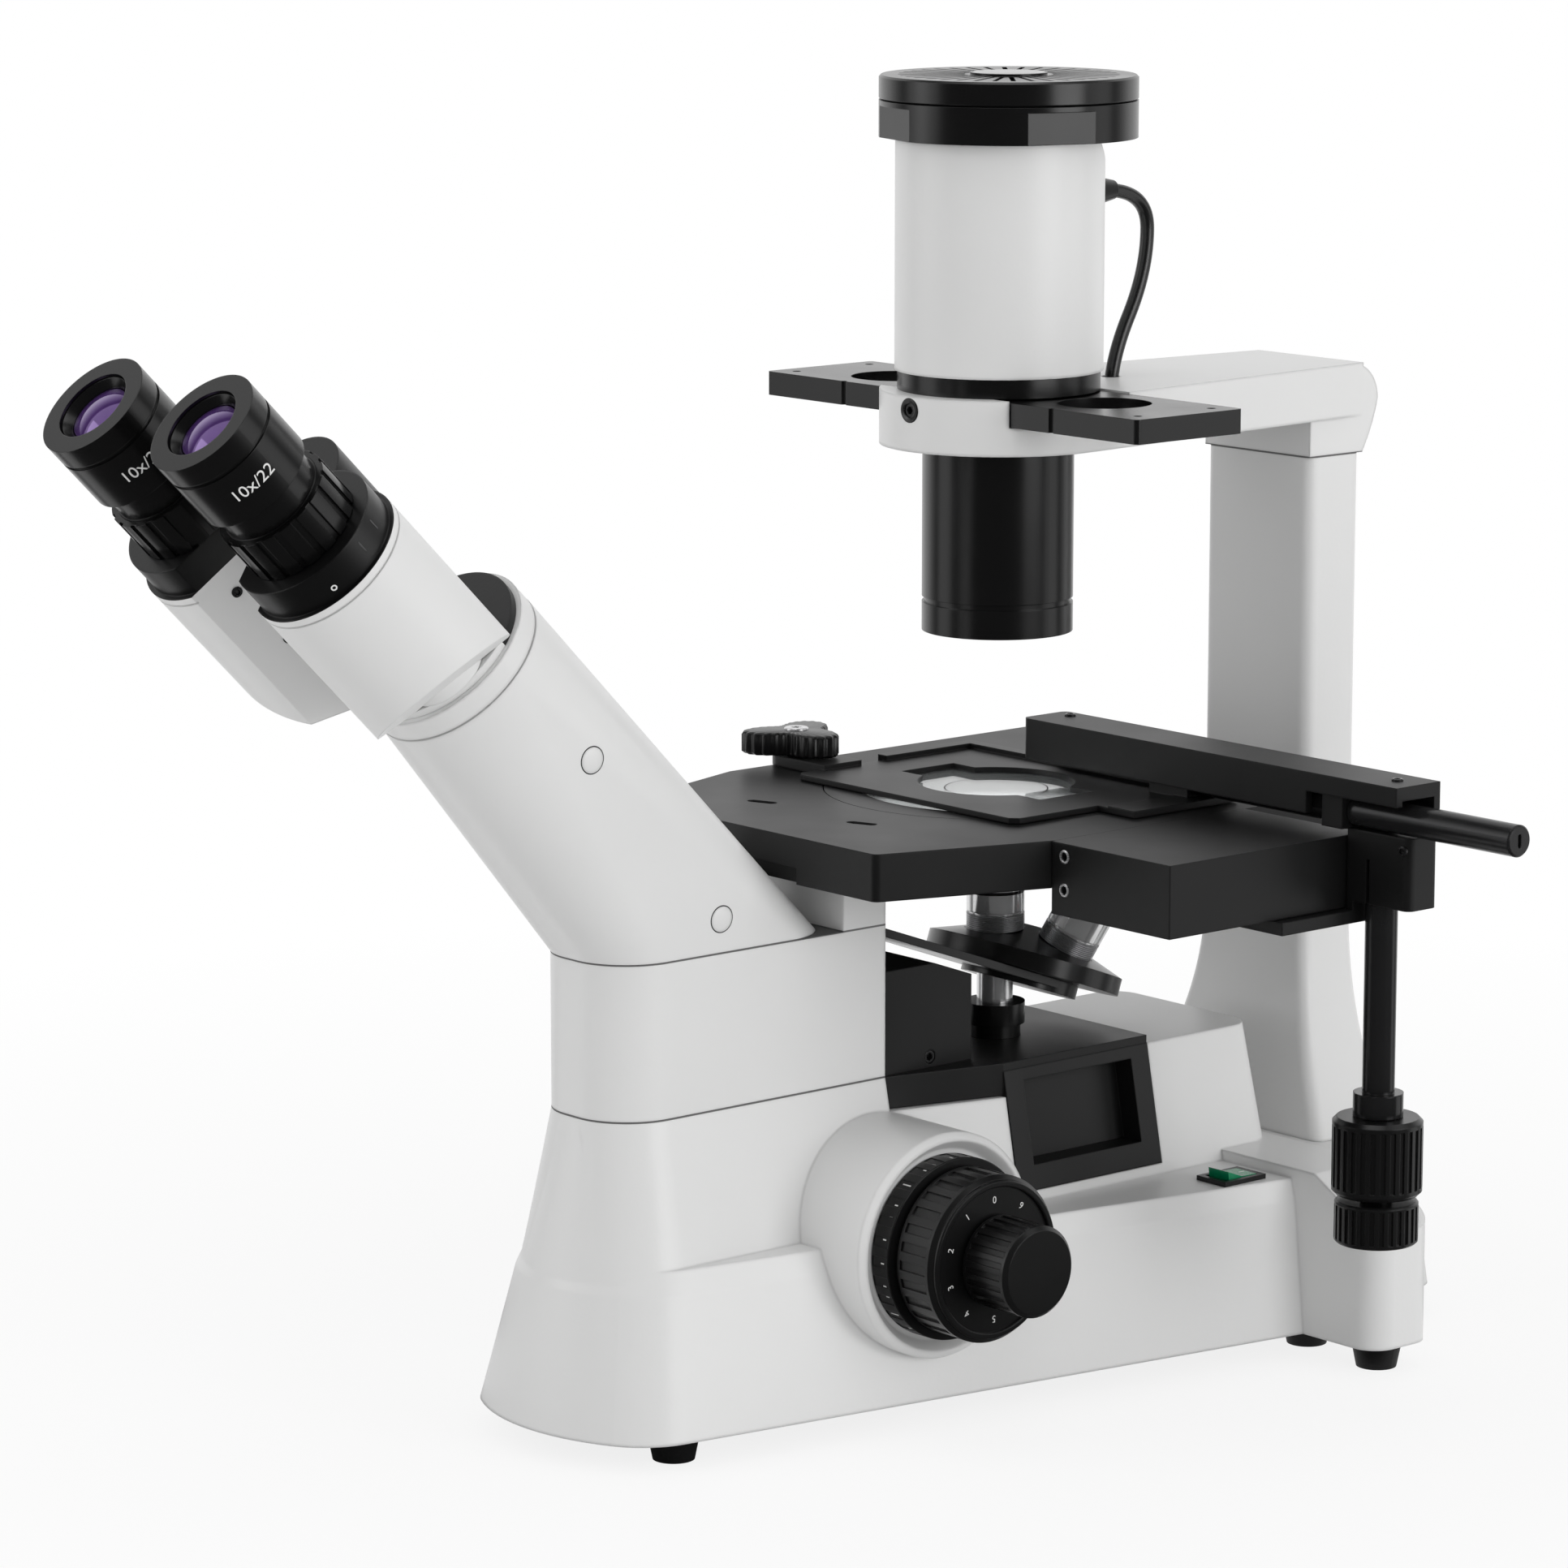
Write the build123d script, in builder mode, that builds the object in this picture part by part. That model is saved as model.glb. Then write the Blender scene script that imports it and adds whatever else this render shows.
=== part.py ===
from math import cos, hypot, pi, radians, sin, tan
import os
from build123d import *

os.makedirs("parts", exist_ok=True)

# An inverted microscope with a phase-contrast condenser, a tilted nosepiece under the stage,
# a bolt-on mechanical stage with drop-down coaxial knobs and a sliding-prism binocular head.
# Millimetres. +Z is up, +Y is away from the operator, +X is the operator's right.
# The origin is on the bench, under the optical axis.

# Fits and clearances
running = 0.05
gap = 0.3
slide_gap = 0.4
wall = 3.0

# Feet and base casting
foot_height = 10.0
foot_radius = 9.5
foot_tip_radius = 7.5
base_front_y = -222.0
base_front_half = 50.0
base_front_bow = 18.0
base_wide_y = 88.0
base_wide_half = 93.0
base_rear_y = 166.0
base_rear_half = 70.0
skirt_height = 50.0
skirt_inset = 5.0
skirt_front_inset = 10.4
ledge_rise = 8.0
ledge_inset = 2.0
ledge_front_inset = 3.0
base_corner = 14.0
leg_half = 127.0
leg_front_y = 73.0
leg_depth = 32.0
leg_height = 44.0
leg_crest = 4.0
leg_round = 10.0
front_foot_x = 36.0
front_foot_y = -184.0
inner_foot_x = 74.0
inner_foot_y = 92.0
outer_foot_x = 113.0
plate_thickness = 2.5
plate_inset = 9.0
base_wall = 13.0
cavity_height = 42.0

# Upper body of the base, neck and deck
body_foot_half = 40.2
body_foot_rear_half = 50.0
body_rear_y = 98.0
body_rear_half = 37.0
body_front_step = 9.8
body_rear_step = 6.0
body_foot_round = 28.0
body_overlap = 6.0
neck_seat_z = 119.0
neck_half = 26.0
neck_front_y = -200.0
neck_rear_y = -77.0
neck_height = 56.0
neck_round = 22.0
post_depth = 20.0
deck_thickness = 3.0
deck_rear_y = 42.0
deck_skirt_drop = 12.0
window_front_y = -30.0
window_low_z = 72.0
window_frame = 9.0
window_depth = 11.0
cover_depth = 11.0

# Optical path
optical_bore = 15.0
beam_bore = 9.0
head_angle = 45.0
mirror_radius = 15.0
mirror_thickness = 4.0
mirror_seat = 21.0
tube_lens_radius = 12.0
tube_lens_thickness = 6.0
lens_depth = 190.0

# Viewing tube and binocular head
tube_end_y = -249.0
tube_end_z = 284.0
tube_end_radius = 33.0
tube_foot_rear_y = -98.0
collar_length = 9.0
collar_groove = 0.8
pivot_plate_thickness = 3.0
pivot_plate_inset = 2.0
pivot_radius = 6.0
pivot_flange_radius = 15.0
pivot_flange_thickness = 6.0
eye_half_distance = 31.0
eye_drop = 20.5
cheek_radius = 28.0
cheek_flat = 19.3
cheek_flat_turn = 18.0
cheek_length = 76.5
cheek_lip = 3.5
cheek_lip_groove = 0.6
cheek_heel_level = 19.9
cheek_heel_out = 0.51
cheek_heel_down = -0.27
cheek_heel_along = -0.815
cheek_floor = 20.0
cap_collar_radius = 26.2
cap_collar_length = 12.0
hinge_radius = 20.0
hinge_top = 96.5
diopter_radius = 20.5
diopter_length = 17.0
diopter_ribs = 18
rib_depth = 0.8
rib_width = 2.4
eyepiece_sleeve_radius = 17.5
eyepiece_sleeve_length = 9.5
eyepiece_groove_down = 8.0
eyepiece_groove_width = 1.4
eyepiece_groove_depth = 0.7
eyepiece_radius = 20.2
eyepiece_length = 28.0
eye_lens_radius = 12.0
eye_cup_radius = 13.5
eye_cup_depth = 6.0
spigot_radius = 18.0
eyepiece_tube_radius = 15.0
eye_lens_thickness = 5.0
eye_lens_ledge = 1.5
tube_bore = 15.0

# Pillar and lamp arm
pillar_half = 28.0
pillar_front_y = 133.0
pillar_depth = 28.0
pillar_round = 5.0
flare_half = 52.0
flare_top_z = 150.0
flare_front = 14.0
arm_low_z = 340.0
arm_thickness = 20.0
arm_nose_radius = 43.5
arm_tail = 8.0
arm_tail_drop = 14.0
arm_tail_lean = 0.6
arm_seam_z = 326.0
arm_screw_z = 355.0
stage_ledge = 18.0

# Lamp house and condenser
collar_radius = 37.0
lamp_collar_height = 7.0
lamp_body_radius = 38.0
lamp_body_height = 84.0
cap_radius = 47.0
cap_offset_y = 4.0
cap_ring_height = 13.4
lid_height = 9.0
vent_count = 36
vent_inner = 16.0
vent_outer = 40.0
vent_width = 1.8
cap_wall = 4.0
cap_floor = 3.0
cap_flat = 1.9
cap_flat_count = 4
cap_flat_turn = -17.7
lid_roof = 4.0
lid_hub_radius = 14.0
lid_hub_rise = 0.8
lamp_port_radius = 18.0
lamp_cavity_radius = 27.0
lamp_roof = 8.0
lamp_slant = 20.0
lamp_slant_out = 1.0
lamp_holder_bar = 44.0
lamp_holder_width = 16.0
lamp_holder_thickness = 3.0
lamp_holder_radius = 7.0
lamp_holder_length = 15.0
bulb_radius = 6.0
bulb_length = 22.0
bulb_base_radius = 4.5
bulb_base_length = 8.0
collector_radius = 22.0
collector_edge = 3.0
collector_height = 8.0
gland_drop = 22.0
gland_radius = 3.9
gland_flange_radius = 6.0
gland_flange_y = 38.6
gland_flange_end_y = 44.0
gland_end_y = 56.0
gland_tip_radius = 3.6
lead_radius = 2.6
lead_start_y = 50.0
lead_out_y = 74.0
lead_knee_z = 398.0
lead_foot_y = 56.0
lead_foot_z = 366.0
lead_end_z = 353.0
lead_hole_depth = 8.0
lead_bend_share = 0.45
condenser_radius = 27.7
condenser_length = 68.7
condenser_groove_up = 10.5
condenser_lip = 2.0
condenser_lens_edge = 3.0
condenser_lens_height = 10.0
condenser_groove = 0.8
slider_length = 200.0
slider_width = 52.0
slider_thickness = 8.8
slider_stop_pitch = 56.0
slider_port_radius = 17.0
slider_corner = 2.0
slider_hole_inset = 16.0
slider_hole_radius = 1.6
slider_notch_radius = 1.2

# Stage
stage_top_z = 212.0
stage_thickness = 17.0
stage_front_y = -119.0
stage_front_half = 68.0
stage_half = 89.5
stage_kink_y = -53.0
stage_rear_y = 131.7
insert_radius = 63.5
insert_thickness = 3.0
insert_ledge = 5.0
stage_pocket_radius = 68.0
stage_pocket_depth = 10.0
leaf_left_x = -34.0
leaf_right_x = 21.0
leaf_y = -84.0
leaf_turn = 20.0
leaf_length = 12.0
leaf_width = 4.0
leaf_depth = 2.0
tube_relief = 6.0
drive_right_x = 149.0
drive_front_y = -55.0
drive_rear_y = 40.0
drive_height = 26.0
drive_wall = 10.0
groove_x = 120.0
groove_width = 8.0
groove_depth = 6.0
drive_screw_x = 95.8
drive_screw_low = 9.3
drive_screw_pitch = 12.0

# Mechanical stage
rail_left_x = -12.0
rail_right_x = 180.0
rail_front_y = 24.0
rail_depth = 22.0
rail_height = 15.0
rail_top_z = 234.0
rail_wall = 3.0
rail_roof = 5.0
rail_window_x = 136.0
rail_window_height = 8.0
bushing_x = 141.0
bushing_length = 10.0
end_block_left_x = 150.0
end_block_front_y = 31.0
end_block_low_z = 189.0
end_block_top_z = 215.0
link_left_x = 118.0
link_front_y = -4.0
link_thickness = 4.7
shaft_x = 160.0
shaft_y = 38.5
shaft_radius = 5.8
shaft_grip = 16.0
shaft_low_z = 67.5
shaft_collar_radius = 9.0
shaft_collar_height = 8.5
upper_knob_radius = 16.2
upper_knob_height = 28.2
upper_knob_low_z = 83.0
lower_knob_radius = 15.0
lower_knob_height = 15.4
lower_knob_low_z = 65.4
rod_radius = 5.7
rod_y = 35.0
rod_z = 221.0
rod_left_x = 50.0
rod_right_x = 228.0
rod_slot = 5.0
holder_half = 60.0
holder_front_y = -46.0
holder_rear_y = 44.0
holder_thickness = 2.05
slide_length = 76.0
slide_width = 26.0
dish_radius = 29.0
rim_width = 5.0
rim_front_y = -3.0
rim_top_z = 216.4
bar_left_x = 65.0
bar_right_x = 79.0
bar_front_y = -5.0
bar_top_z = 215.0
lug_left_x = 52.0
lug_length = 20.0
lug_half = 7.0
clamp_x = -84.0
clamp_y = -25.0
clamp_arm_half = 9.0
clamp_stem_radius = 4.0
clamp_low_z = 217.0
clamp_top_z = 226.0
clamp_radius = 15.0
clamp_lobe_radius = 6.0
clamp_lobes = 3
knob_flutes = 28

# Focus drive and nosepiece
focus_y = -85.5
focus_z = 66.5
boss_radius = 41.0
boss_bevel = 2.0
boss_rim_x = 70.0
boss_dish_radius = 34.5
boss_dish_flare = 3.5
boss_face_x = 65.7
coarse_radius = 30.2
coarse_length = 19.0
tension_radius = 33.0
tension_length = 9.3
fine_radius = 16.5
fine_length = 23.4
sleeve_radius = 9.0
fine_shaft_radius = 4.0
fine_shaft_half = 112.0
coarse_flutes = 28
fine_flutes = 24
flute_depth = 0.7
block_rear_y = -35.0
block_height = 38.5
block_rear_height = 32.0
block_slope_y = -53.0
block_screw_y = -55.0
block_screw_up = 4.0
turret_tilt = 20.0
turret_radius = 37.0
turret_thickness = 6.5
turret_crown_radius = 8.0
turret_bore = 5.0
turret_bore_depth = 13.0
nosepiece_y = 13.4
nosepiece_z = 141.2
objective_pitch_radius = 19.0
objective_port = 4.5
spot_depth = 0.6
spot_radius = 11.4
stem_radius = 7.5
stem_length = 4.5
objective_radius = 10.7
objective_neck = 1.0
objective_ring = 6.0
objective_taper = 10.0
objective_tip_radius = 5.5
front_lens_radius = 3.0
scanning_length = 30.0
low_power_length = 34.0
medium_power_length = 38.0
high_power_length = 41.0
carrier_radius = 22.0
carrier_thickness = 5.0
carrier_arm_length = 92.0
carrier_arm_thickness = 3.0
light_tube_radius = 6.7
light_tube_bore = 5.0
light_tube_low_z = 95.0
socket_radius = 11.2
socket_height = 13.0
socket_step_radius = 9.6
socket_step_height = 5.0

# Controls
rocker_length = 21.0
rocker_width = 15.0
rocker_x = 70.0
rocker_y = 55.0
rocker_tilt = 11.0
rocker_half = 7.4
rocker_side = 5.2
rocker_crest = 1.6
rocker_root = 3.5
rocker_pin_radius = 1.2
rocker_pin_depth = 0.8
rocker_pin_drop = 1.5
bezel_height = 1.8
bezel_rim = 1.0
switch_depth = 12.0
dial_x = 66.0
dial_radius = 11.0
dial_height = 9.0
dial_shaft_radius = 3.0
dial_shaft_length = 12.0
inlet_width = 28.0
inlet_height = 20.0
inlet_depth = 13.0
inlet_z = 38.0
inlet_flange = 2.0
inlet_recess = 10.0
pin_width = 2.0
pin_height = 4.0
pin_pitch = 7.0
screw_radius = 2.5
screw_length = 8.0
screw_socket_radius = 1.5
screw_socket_depth = 2.5
screw_sink = 0.3

# Derived levels, points and planes
skirt_z = foot_height + skirt_height
ledge_z = skirt_z + ledge_rise
deck_z = neck_seat_z - deck_thickness
neck_top_z = neck_seat_z + neck_height
stage_low_z = stage_top_z - stage_thickness
arm_top_z = arm_low_z + arm_thickness
lamp_low_z = arm_top_z + lamp_collar_height
lamp_top_z = lamp_low_z + lamp_body_height
lid_z = lamp_top_z + cap_ring_height
on_floor = (Align.CENTER, Align.CENTER, Align.MIN)
corner_low = (Align.MIN, Align.MIN, Align.MIN)
under_floor = (Align.CENTER, Align.CENTER, Align.MAX)
to_right = (0, 90, 0)
to_left = (0, -90, 0)
head_x = cos(radians(head_angle))
head_z = sin(radians(head_angle))
head = Plane(origin=(0, tube_end_y, tube_end_z), x_dir=(1, 0, 0), z_dir=(0, -head_x, head_z))


def save(piece, name):
    """Label a finished piece and write it."""
    piece.label = name
    export_step(piece, f"parts/{name}.step")


def wedge(front_half, front_y, wide_half, wide_y, rear_half, rear_y, bow, front_corner, corner):
    """Plan outline that is narrow and bowed at the front and wide towards the rear."""
    with BuildSketch() as outline:
        with BuildLine():
            ThreePointArc((-front_half, front_y + bow), (0, front_y), (front_half, front_y + bow))
            Polyline(
                (front_half, front_y + bow),
                (wide_half, wide_y),
                (rear_half, rear_y),
                (-rear_half, rear_y),
                (-wide_half, wide_y),
                (-front_half, front_y + bow),
            )
        make_face()
        fillet(outline.vertices().filter_by_position(Axis.Y, wide_y, rear_y), corner)
        fillet(outline.vertices().group_by(Axis.Y)[0], front_corner)
    return outline.sketch


def skirt_outline(inset, front_inset):
    """The base's plan outline, drawn in at its sides and rear, and by its own amount in front."""
    return wedge(
        base_front_half - front_inset,
        base_front_y + front_inset,
        base_wide_half - inset,
        base_wide_y,
        base_rear_half - inset,
        base_rear_y - inset,
        base_front_bow,
        body_foot_round,
        base_corner,
    )


def body_outline(front_half, front_y, rear_half, rear_y, bow, corner):
    """Plan outline of the upper body: the neck's width in front, wider behind the neck."""
    with BuildSketch() as outline:
        with BuildLine():
            ThreePointArc((-front_half, front_y + bow), (0, front_y), (front_half, front_y + bow))
            Polyline(
                (front_half, front_y + bow),
                (front_half, neck_rear_y),
                (rear_half, window_front_y),
                (rear_half, rear_y),
                (-rear_half, rear_y),
                (-rear_half, window_front_y),
                (-front_half, neck_rear_y),
                (-front_half, front_y + bow),
            )
        make_face()
        fillet(outline.vertices().group_by(Axis.Y)[0], corner)
        fillet(outline.vertices().group_by(Axis.Y)[-1], corner / 2)
    return outline.sketch


def fluted(radius, length, bore, count, depth, margin):
    """Knob standing on its end at the origin, with straight flutes cut round its side."""
    with BuildPart() as knob:
        Cylinder(radius, length, align=on_floor)
        chamfer(knob.edges().filter_by(GeomType.CIRCLE), margin / 2)
        with Locations((0, 0, margin)):
            with PolarLocations(radius, count):
                Box(
                    2 * depth,
                    pi * radius / count,
                    length - 2 * margin,
                    align=on_floor,
                    mode=Mode.SUBTRACT,
                )
        if bore:
            Hole(bore)
    return knob.part


def plano_convex(radius, edge, height, level):
    """Lens lying flat on a level, domed above."""
    with BuildPart() as lens:
        with BuildSketch(Plane.XZ):
            with BuildLine():
                dome = TangentArc((0, level + height), (radius, level + edge), tangent=(1, 0))
                Polyline(dome @ 1, (radius, level), (0, level), dome @ 0)
            make_face()
        revolve(axis=Axis.Z)
    return lens.part


def screw():
    """Socket head screw hanging from the origin, its hexagon socket upwards."""
    with BuildPart() as fastener:
        with Locations((0, 0, -screw_sink)):
            Cylinder(screw_radius, screw_length, align=under_floor)
        with BuildSketch(Plane.XY):
            RegularPolygon(screw_socket_radius, 6)
        extrude(amount=-screw_socket_depth, mode=Mode.SUBTRACT)
    return fastener.part


# Base casting: a low wide skirt, a narrow upper body, round bosses for the focus knobs and
# two short outrigger legs at the rear. It is open below and holds the mirror and the wiring.
skirt_low = skirt_outline(0, 0)
skirt_high = skirt_outline(skirt_inset, skirt_front_inset)
ledge_outline = skirt_outline(skirt_inset + ledge_inset, skirt_front_inset + ledge_front_inset)
body_low = body_outline(
    body_foot_half,
    base_front_y + body_front_step,
    body_foot_rear_half,
    body_rear_y + body_rear_step,
    base_front_bow,
    body_foot_round,
)
body_high = body_outline(neck_half, neck_front_y, body_rear_half, body_rear_y, gap, neck_round)
body_low_z = skirt_z - body_overlap
cavity_outline = skirt_outline(base_wall, base_wall)
plate_seat = skirt_outline(plate_inset - gap, plate_inset - gap)
plate_outline = skirt_outline(plate_inset, plate_inset)
beam = Plane(origin=head.origin, x_dir=(1, 0, 0), z_dir=(0, head_x, -head_z))
mirror_z = tube_end_z + tube_end_y * tan(radians(head_angle))
beam_length = hypot(tube_end_y, tube_end_z - mirror_z)


def body_half(level):
    """Half-width of the upper body's rear part at a height."""
    share = (level - body_low_z) / (neck_seat_z - body_low_z)
    return body_foot_rear_half + (body_rear_half - body_foot_rear_half) * share


cover_in_x = body_half(deck_z) - cover_depth
with BuildPart() as base_casting:
    with BuildSketch(Plane.XY.offset(foot_height)):
        add(skirt_low)
    with BuildSketch(Plane.XY.offset(skirt_z)):
        add(skirt_high)
    loft()
    with BuildSketch(Plane.XY.offset(skirt_z)):
        add(skirt_high)
    with BuildSketch(Plane.XY.offset(ledge_z)):
        add(ledge_outline)
    loft()
    with BuildSketch(Plane.XY.offset(body_low_z)):
        add(body_low)
    with BuildSketch(Plane.XY.offset(neck_seat_z)):
        add(body_high)
    loft()
    # Pad under the pillar
    with BuildSketch(Plane.XY.offset(foot_height)):
        with Locations((0, base_rear_y - (base_rear_y - body_rear_y) / 2)):
            Rectangle(2 * (flare_half + ledge_inset), base_rear_y - body_rear_y)
    extrude(amount=ledge_z - foot_height)
    # Bosses round the focus shaft, the right one dished for the tension ring
    with Locations(Location((0, focus_y, focus_z), to_right)):
        Cylinder(boss_radius, boss_rim_x - boss_bevel, align=on_floor)
        with Locations((0, 0, boss_rim_x - boss_bevel)):
            Cone(boss_radius, boss_radius - boss_bevel, boss_bevel, align=on_floor)
        with Locations((0, 0, boss_face_x)):
            Cone(
                boss_dish_radius,
                boss_dish_radius + boss_dish_flare,
                boss_rim_x - boss_face_x,
                align=on_floor,
                mode=Mode.SUBTRACT,
            )
            Cylinder(boss_dish_radius, boss_radius, align=on_floor, mode=Mode.SUBTRACT)
    with Locations(Location((0, focus_y, focus_z), to_left)):
        Cylinder(boss_radius, boss_face_x + tension_length, align=on_floor)
    # Outrigger legs
    with BuildSketch(Plane.XZ.offset(-leg_front_y)) as leg:
        with BuildLine():
            Polyline(
                (0, foot_height),
                (leg_half, foot_height),
                (leg_half, foot_height + leg_height),
                (leg_half - leg_depth, ledge_z + leg_crest),
                (0, ledge_z + leg_crest),
                close=True,
            )
        make_face()
        mirror(about=Plane.YZ)
    extrude(amount=-leg_depth)
    corners = base_casting.edges().filter_by(Axis.Z).group_by(Axis.X)
    fillet(corners[0] + corners[-1], leg_round)
    # Hollow from below, with a rebate for the bottom plate
    with BuildSketch(Plane.XY.offset(foot_height)):
        add(cavity_outline)
    extrude(amount=cavity_height, mode=Mode.SUBTRACT)
    with BuildSketch(Plane.XY.offset(foot_height)):
        add(plate_seat)
    extrude(amount=plate_thickness, mode=Mode.SUBTRACT)
    # Light path: down the optical axis to the mirror, then up the tilted tube
    with BuildSketch(Plane.XY.offset(neck_seat_z)):
        Circle(optical_bore)
    extrude(amount=-(neck_seat_z - foot_height - cavity_height), mode=Mode.SUBTRACT)
    with BuildSketch(beam):
        Circle(beam_bore)
    extrude(amount=beam_length, mode=Mode.SUBTRACT)
    # Seats of the deck cover: its top, its side skirts and its two window blocks
    with BuildSketch(Plane.XY.offset(deck_z)):
        with Locations((0, neck_rear_y)):
            Rectangle(4 * body_rear_half, 2 * base_rear_y, align=(Align.CENTER, Align.MIN))
    extrude(amount=2 * deck_thickness, mode=Mode.SUBTRACT)
    with BuildSketch(Plane.XY.offset(neck_seat_z - deck_skirt_drop - gap)):
        with BuildLine():
            Polyline(
                (neck_half - wall, neck_rear_y),
                (body_rear_half - wall, window_front_y),
                (2 * body_rear_half, window_front_y),
                (2 * body_rear_half, neck_rear_y),
                close=True,
            )
        make_face()
        mirror(about=Plane.YZ)
    extrude(amount=deck_skirt_drop, mode=Mode.SUBTRACT)
    with BuildSketch(Plane.XY.offset(window_low_z - gap)):
        with Locations((cover_in_x - gap, window_front_y - gap)):
            Rectangle(body_rear_half, deck_rear_y - window_front_y + 2 * gap, align=(Align.MIN, Align.MIN))
        mirror(about=Plane.YZ)
    extrude(amount=deck_z - window_low_z + 2 * gap, mode=Mode.SUBTRACT)
    # Bearing of the coarse focus sleeve
    with BuildSketch(Plane.YZ.offset(2 * boss_face_x)):
        with Locations((focus_y, focus_z)):
            Circle(sleeve_radius + running)
    extrude(amount=-4 * boss_face_x, mode=Mode.SUBTRACT)
    # Cut-outs for the rocker switch, the brightness dial and the mains inlet
    with Locations((rocker_x, rocker_y, ledge_z)):
        Box(
            rocker_width - 2 * bezel_rim + gap,
            rocker_length - 2 * bezel_rim + gap,
            2 * switch_depth,
            mode=Mode.SUBTRACT,
        )
    with Locations((-dial_x, rocker_y, ledge_z)):
        Cylinder(dial_shaft_radius + running, 2 * dial_shaft_length + 2 * wall, mode=Mode.SUBTRACT)
    with Locations((0, base_rear_y, inlet_z)):
        Box(inlet_width + gap, 2 * inlet_depth, inlet_height + gap, mode=Mode.SUBTRACT)
save(base_casting.part, "base_casting")

# Bottom plate with the slanted mirror seat, and the mirror lying on it
mirror_tilt = radians(90 - head_angle) / 2
mirror_normal = (0, -sin(mirror_tilt), cos(mirror_tilt))
mirror_face = Plane(origin=(0, 0, mirror_z), x_dir=(1, 0, 0), z_dir=mirror_normal)
mirror_back = mirror_face.offset(-mirror_thickness)
with BuildPart() as base_plate:
    with BuildSketch(Plane.XY.offset(foot_height)):
        add(plate_outline)
    extrude(amount=plate_thickness)
    with BuildSketch(Plane.XY.offset(foot_height)):
        Rectangle(mirror_seat, mirror_seat)
    extrude(amount=mirror_z)
    with BuildSketch(mirror_back):
        Rectangle(6 * mirror_radius, 6 * mirror_radius)
    extrude(amount=2 * mirror_z, mode=Mode.SUBTRACT)
save(base_plate.part, "base_plate")

with BuildPart() as base_mirror:
    with BuildSketch(mirror_back):
        Circle(mirror_radius)
    extrude(amount=mirror_thickness)
save(base_mirror.part, "base_mirror")

# Six tapered rubber feet
with BuildPart() as rubber_feet:
    with Locations(
        (front_foot_x, front_foot_y),
        (-front_foot_x, front_foot_y),
        (inner_foot_x, inner_foot_y),
        (-inner_foot_x, inner_foot_y),
        (outer_foot_x, leg_front_y + leg_depth / 2),
        (-outer_foot_x, leg_front_y + leg_depth / 2),
    ):
        Cone(foot_tip_radius, foot_radius, foot_height, align=on_floor)
save(rubber_feet.part, "rubber_feet")

# Neck casting between base and viewing tube, with the post that carries the stage's front
with BuildPart() as neck_block:
    with BuildSketch(Plane.XY.offset(neck_seat_z)):
        with Locations((0, (neck_front_y + neck_rear_y) / 2)):
            Rectangle(2 * neck_half, neck_rear_y - neck_front_y)
    extrude(amount=neck_height)
    fillet(neck_block.edges().filter_by(Axis.Z).group_by(Axis.Y)[0], neck_round)
    with BuildSketch(Plane.XY.offset(neck_top_z)):
        with Locations((0, neck_rear_y - post_depth / 2)):
            Rectangle(2 * neck_half, post_depth)
    extrude(amount=stage_low_z - neck_top_z)
    with BuildSketch(beam):
        Circle(beam_bore)
    extrude(amount=beam_length, mode=Mode.SUBTRACT)
    with BuildSketch(beam):
        Circle(tube_lens_radius + running)
    extrude(amount=lens_depth, mode=Mode.SUBTRACT)
save(neck_block.part, "neck_block")

with BuildPart() as tube_lens:
    with BuildSketch(beam.offset(lens_depth - tube_lens_thickness)):
        Circle(tube_lens_radius)
    extrude(amount=tube_lens_thickness)
save(tube_lens.part, "tube_lens")

# Viewing tube: a tilted casting that runs from the neck's outline to a round collar
tube_foot_mid = (neck_front_y + tube_foot_rear_y) / 2
with BuildPart() as viewing_tube:
    with BuildSketch(Plane.XY.offset(neck_top_z)):
        with Locations((0, tube_foot_mid)):
            RectangleRounded(2 * neck_half, tube_foot_rear_y - neck_front_y, neck_round)
    with BuildSketch(head):
        RectangleRounded(2 * tube_end_radius, 2 * tube_end_radius, tube_end_radius - gap)
    loft()
    with BuildSketch(head):
        Circle(tube_end_radius)
    extrude(amount=collar_length)
    with BuildSketch(head):
        Circle(2 * tube_end_radius)
        Circle(tube_end_radius - collar_groove, mode=Mode.SUBTRACT)
    extrude(amount=collar_groove, mode=Mode.SUBTRACT)
    with BuildSketch(head.offset(collar_length)):
        Circle(tube_bore)
    extrude(amount=-beam_length, mode=Mode.SUBTRACT)
save(viewing_tube.part, "viewing_tube")

# Pivot plate on the collar, with the pin that both eyepiece cheeks swing on and the round
# hinge barrel on top of the pin, between the cheeks
cheek_low = collar_length + pivot_plate_thickness + gap
cheek_top = cheek_low + cheek_length
flange_step = pivot_flange_thickness + gap
hinge_low = cheek_low + 2 * flange_step
with BuildPart() as head_pivot_plate:
    with BuildSketch(head.offset(collar_length)):
        Circle(tube_end_radius - pivot_plate_inset)
    extrude(amount=pivot_plate_thickness)
    with BuildSketch(head.offset(collar_length + pivot_plate_thickness)):
        Circle(pivot_radius)
    extrude(amount=hinge_top - collar_length - pivot_plate_thickness)
    with BuildSketch(head.offset(hinge_low)):
        Circle(hinge_radius)
    extrude(amount=hinge_top - hinge_low)
    with BuildSketch(head):
        with Locations((0, -eye_drop / 2)):
            Circle(pivot_radius / 2)
    extrude(amount=collar_length + pivot_plate_thickness, mode=Mode.SUBTRACT)
save(head_pivot_plate.part, "head_pivot_plate")


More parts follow.
